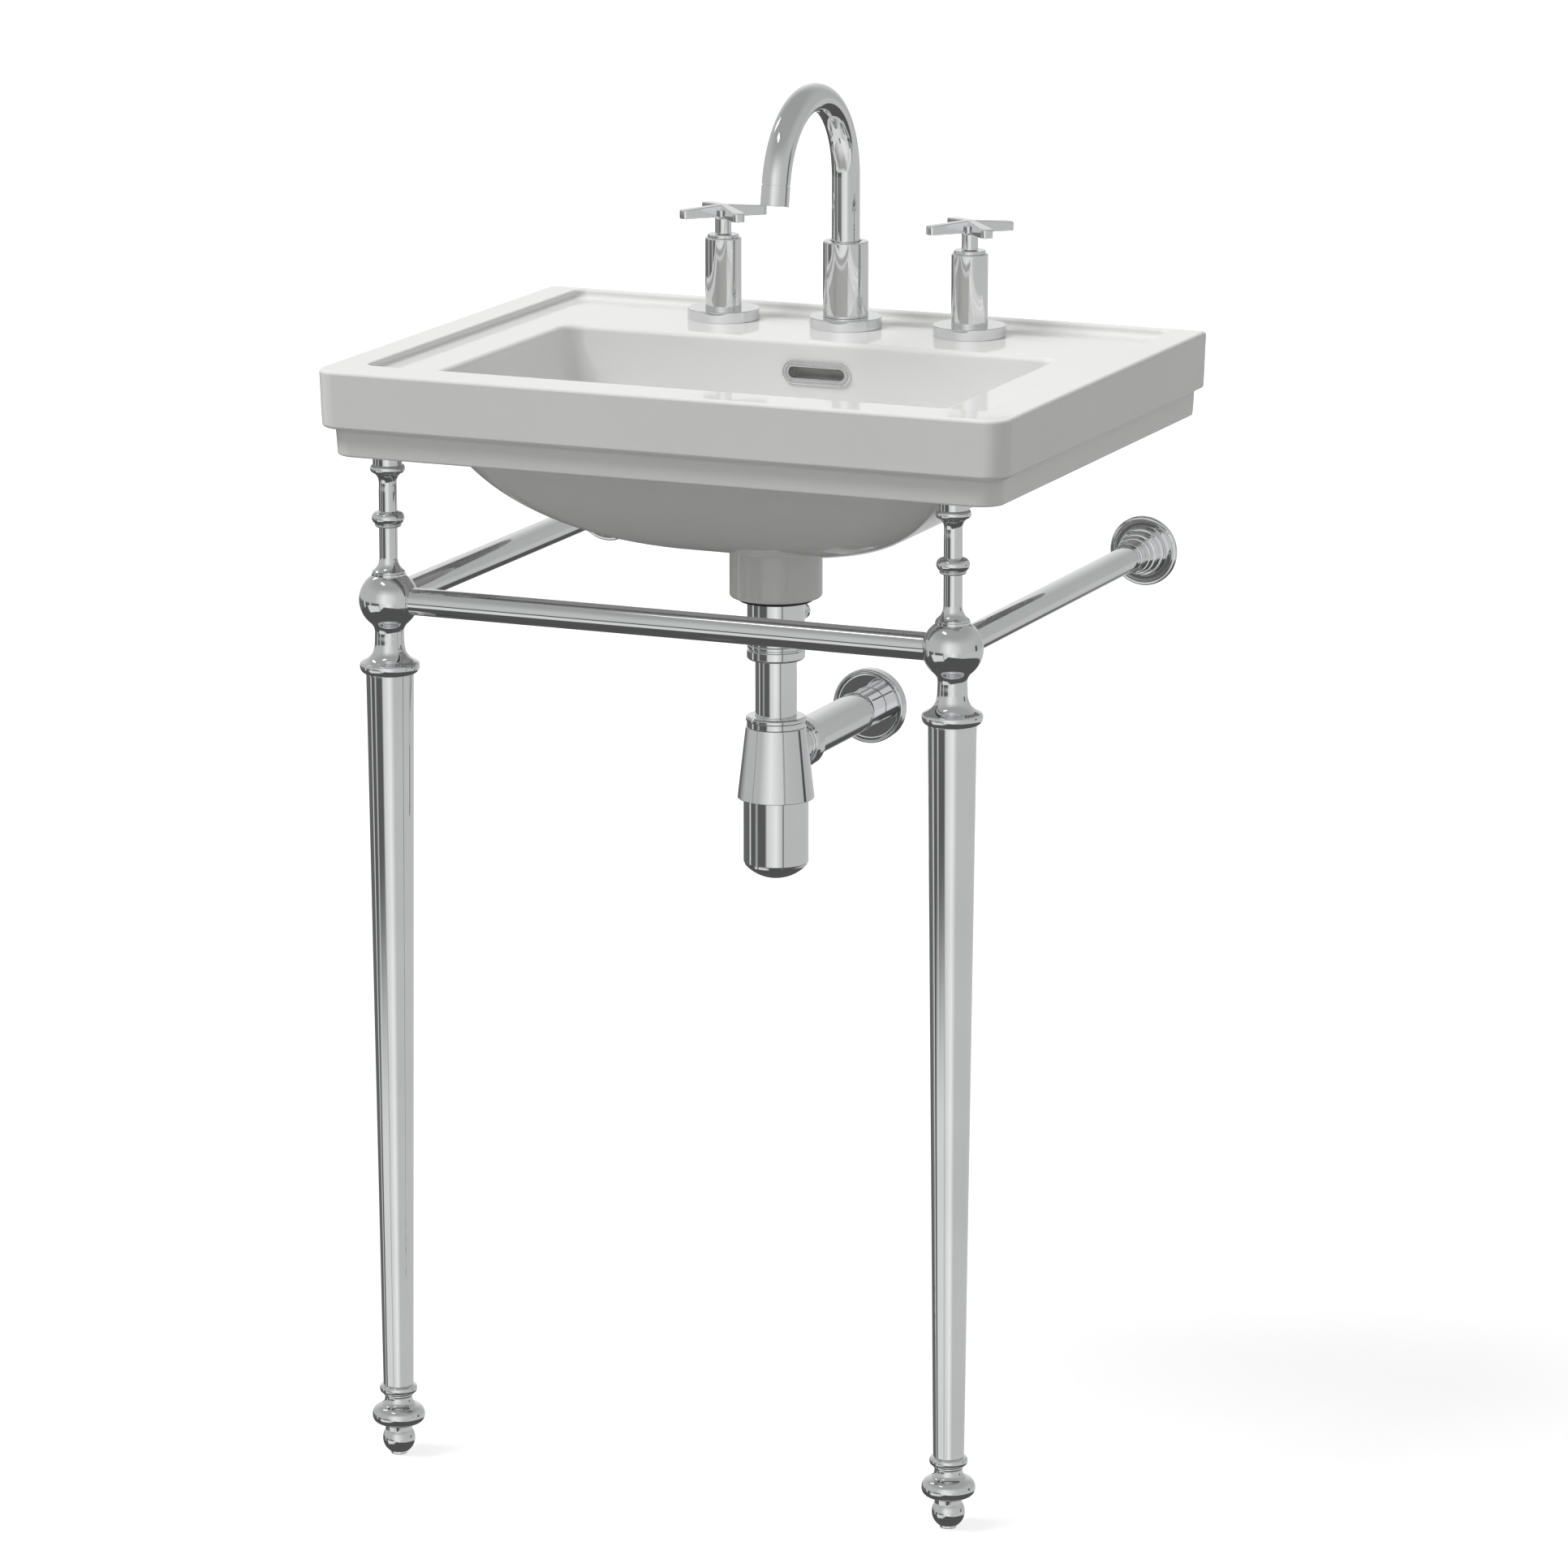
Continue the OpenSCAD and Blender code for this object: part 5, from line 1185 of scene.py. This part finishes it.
glow.inputs["From Max"].default_value = 6.0
glow.inputs["To Min"].default_value = 0.77
glow.inputs["To Max"].default_value = 0.98
path = tree.nodes.new("ShaderNodeLightPath")
seen = tree.nodes.new("ShaderNodeMath")
seen.operation = "MULTIPLY"
linked(tree, place, "Object", distance, "Vector")
linked(tree, distance, "Value", glow, "Value")
tree.links.new(glow.outputs["Result"], seen.inputs[0])
tree.links.new(path.outputs["Is Camera Ray"], seen.inputs[1])
tree.links.new(seen.outputs["Value"], paint.inputs["Emission Strength"])
paint.inputs["Emission Color"].default_value = grey(1.0)
studio_floor.data.materials.append(floor_paint)

world = bpy.data.worlds.new("studio_room")
bpy.context.scene.world = world
world.use_nodes = True
room = world.node_tree


def reckoned(operation, *values):
    """A Math node in the room's tree, fed by numbers or by other outputs."""
    node = room.nodes.new("ShaderNodeMath")
    node.operation = operation
    for k, value in enumerate(values):
        if isinstance(value, (int, float)):
            node.inputs[k].default_value = value
        else:
            room.links.new(value, node.inputs[k])
    return node.outputs["Value"]


def shade_ramp(factor, *stops):
    """Grey levels along a factor, from stops of place and level."""
    ramp = room.nodes.new("ShaderNodeValToRGB")
    room.links.new(factor, ramp.inputs["Fac"])
    elements = ramp.color_ramp.elements
    elements[0].position, elements[1].position = stops[0][0], stops[-1][0]
    elements[0].color = grey(stops[0][1])
    elements[1].color = grey(stops[-1][1])
    for position, level in stops[1:-1]:
        elements.new(position).color = grey(level)
    return ramp.outputs["Color"]


def mixed(factor, first, second):
    mix = room.nodes.new("ShaderNodeMix")
    mix.data_type = "RGBA"
    sockets = (mix.inputs[0], mix.inputs[6], mix.inputs[7])
    for socket, value in zip(sockets, (factor, first, second)):
        if isinstance(value, tuple):
            socket.default_value = value
        else:
            room.links.new(value, socket)
    return mix.outputs[2]


def between(value, low, high):
    span = room.nodes.new("ShaderNodeMapRange")
    span.interpolation_type = "SMOOTHSTEP"
    room.links.new(value, span.inputs["Value"])
    span.inputs["From Min"].default_value = low
    span.inputs["From Max"].default_value = high
    return span.outputs["Result"]


look = room.nodes.new("ShaderNodeTexCoord")
axes = room.nodes.new("ShaderNodeSeparateXYZ")
room.links.new(look.outputs["Generated"], axes.inputs["Vector"])


def blend_of_axes(operation, x_share, y_share):
    along_x = reckoned("MULTIPLY", axes.outputs["X"], x_share)
    return reckoned(operation, along_x, reckoned("MULTIPLY", axes.outputs["Y"], y_share))


# The room is laid out as the camera sees it, 23 degrees round from the front.
to_right = blend_of_axes("ADD", 0.919, 0.394)
to_front = blend_of_axes("SUBTRACT", 0.394, 0.919)
bearing = reckoned(
    "ADD", reckoned("DIVIDE", reckoned("ARCTAN2", to_right, to_front), 2 * math.pi), 0.5
)
height = reckoned("MULTIPLY", reckoned("ARCSINE", axes.outputs["Z"]), 180.0 / math.pi)
# A dark screen stands behind and on the left, with two thin strips of light in
# it. Beside it in front is a bright window, and the rest is plain grey.
walls = shade_ramp(
    bearing,
    (0.0, 0.15), (0.195, 0.15), (0.20, 0.8), (0.215, 0.8), (0.22, 0.12), (0.28, 0.12),
    (0.285, 0.55), (0.30, 0.55), (0.31, 0.12), (0.39, 0.12), (0.41, 0.75), (0.50, 1.0),
    (0.56, 0.6), (1.0, 0.6),
)
# Higher up it is light in front and behind, and grey to both sides.
windows = shade_ramp(
    bearing,
    (0.0, 0.85), (0.1, 0.55), (0.35, 0.55), (0.45, 1.0), (0.6, 0.6), (0.9, 0.5),
    (1.0, 0.85),
)
upper = mixed(between(height, 16.0, 52.0), windows, grey(0.42))
# The floor is dark, and reaches up least under the lit panel on the left.
ground_edge = shade_ramp(
    bearing,
    (0.0, 0.3), (0.22, 0.2), (0.26, 1.0), (0.39, 1.0), (0.45, 0.2), (0.6, 0.5),
    (1.0, 0.3),
)
over_ground = reckoned("ADD", height, reckoned("MULTIPLY", ground_edge, 20.0))


def upright(left, right, edge):
    """1 inside an upright strip of the room, and 0 beside it."""
    before, after = left - edge, right + edge
    return shade_ramp(
        bearing,
        (0.0, 0.0), (before, 0.0), (left, 1.0), (right, 1.0), (after, 0.0), (1.0, 0.0),
    )


lit_panel = reckoned("MULTIPLY", upright(0.26, 0.39, 0.01), between(height, -14.5, -17.0))
walls = mixed(lit_panel, walls, grey(0.8))
above_floor = mixed(between(height, -10.0, -5.0), walls, upper)
in_metal = mixed(between(over_ground, -18.0, -14.0), grey(0.1), above_floor)
# A thin dark stand on the right leaves the dark line in the trap's bell.
low_band = reckoned("SUBTRACT", between(height, -9.0, -6.0), between(height, 4.0, 8.0))
stand = reckoned("MULTIPLY", upright(0.755, 0.782, 0.005), low_band)
in_metal = mixed(stand, in_metal, grey(0.1))
path = room.nodes.new("ShaderNodeLightPath")
not_seen = mixed(path.outputs["Is Glossy Ray"], grey(0.45), in_metal)
seen_white = mixed(path.outputs["Is Camera Ray"], not_seen, grey(1.0))
room.links.new(seen_white, room.nodes["Background"].inputs["Color"])


def studio_light(name, kind, place, aim, strength, in_gloss=False):
    light = bpy.data.lights.new(name, kind)
    light.energy = strength
    lamp = bpy.data.objects.new(name, light)
    lamp.location = place
    lamp.rotation_euler = (Vector(aim) - Vector(place)).to_track_quat("-Z", "Y").to_euler()
    lamp.visible_camera = False
    lamp.visible_glossy = in_gloss
    bpy.context.scene.collection.objects.link(lamp)
    return light


overhead = studio_light("overhead_light", "SUN", (-2.0, -1.5, 3.9), (0, 0, 0), 2.2)
overhead.angle = 0.5
MID_SINK = (0, 0, 0.85)
for name, place, strength, width, depth in (
    ("front_glint_lamp", (-0.85, -1.25, 3.45), 1.6, 0.9, 0.34),
    ("side_glint_lamp", (-2.24, 0.51, 2.78), 1.4, 0.4, 0.7),
):
    glint = studio_light(name, "AREA", place, MID_SINK, strength, True)
    glint.shape = "RECTANGLE"
    glint.size, glint.size_y = width, depth
bpy.context.scene.view_settings.view_transform = "Standard"
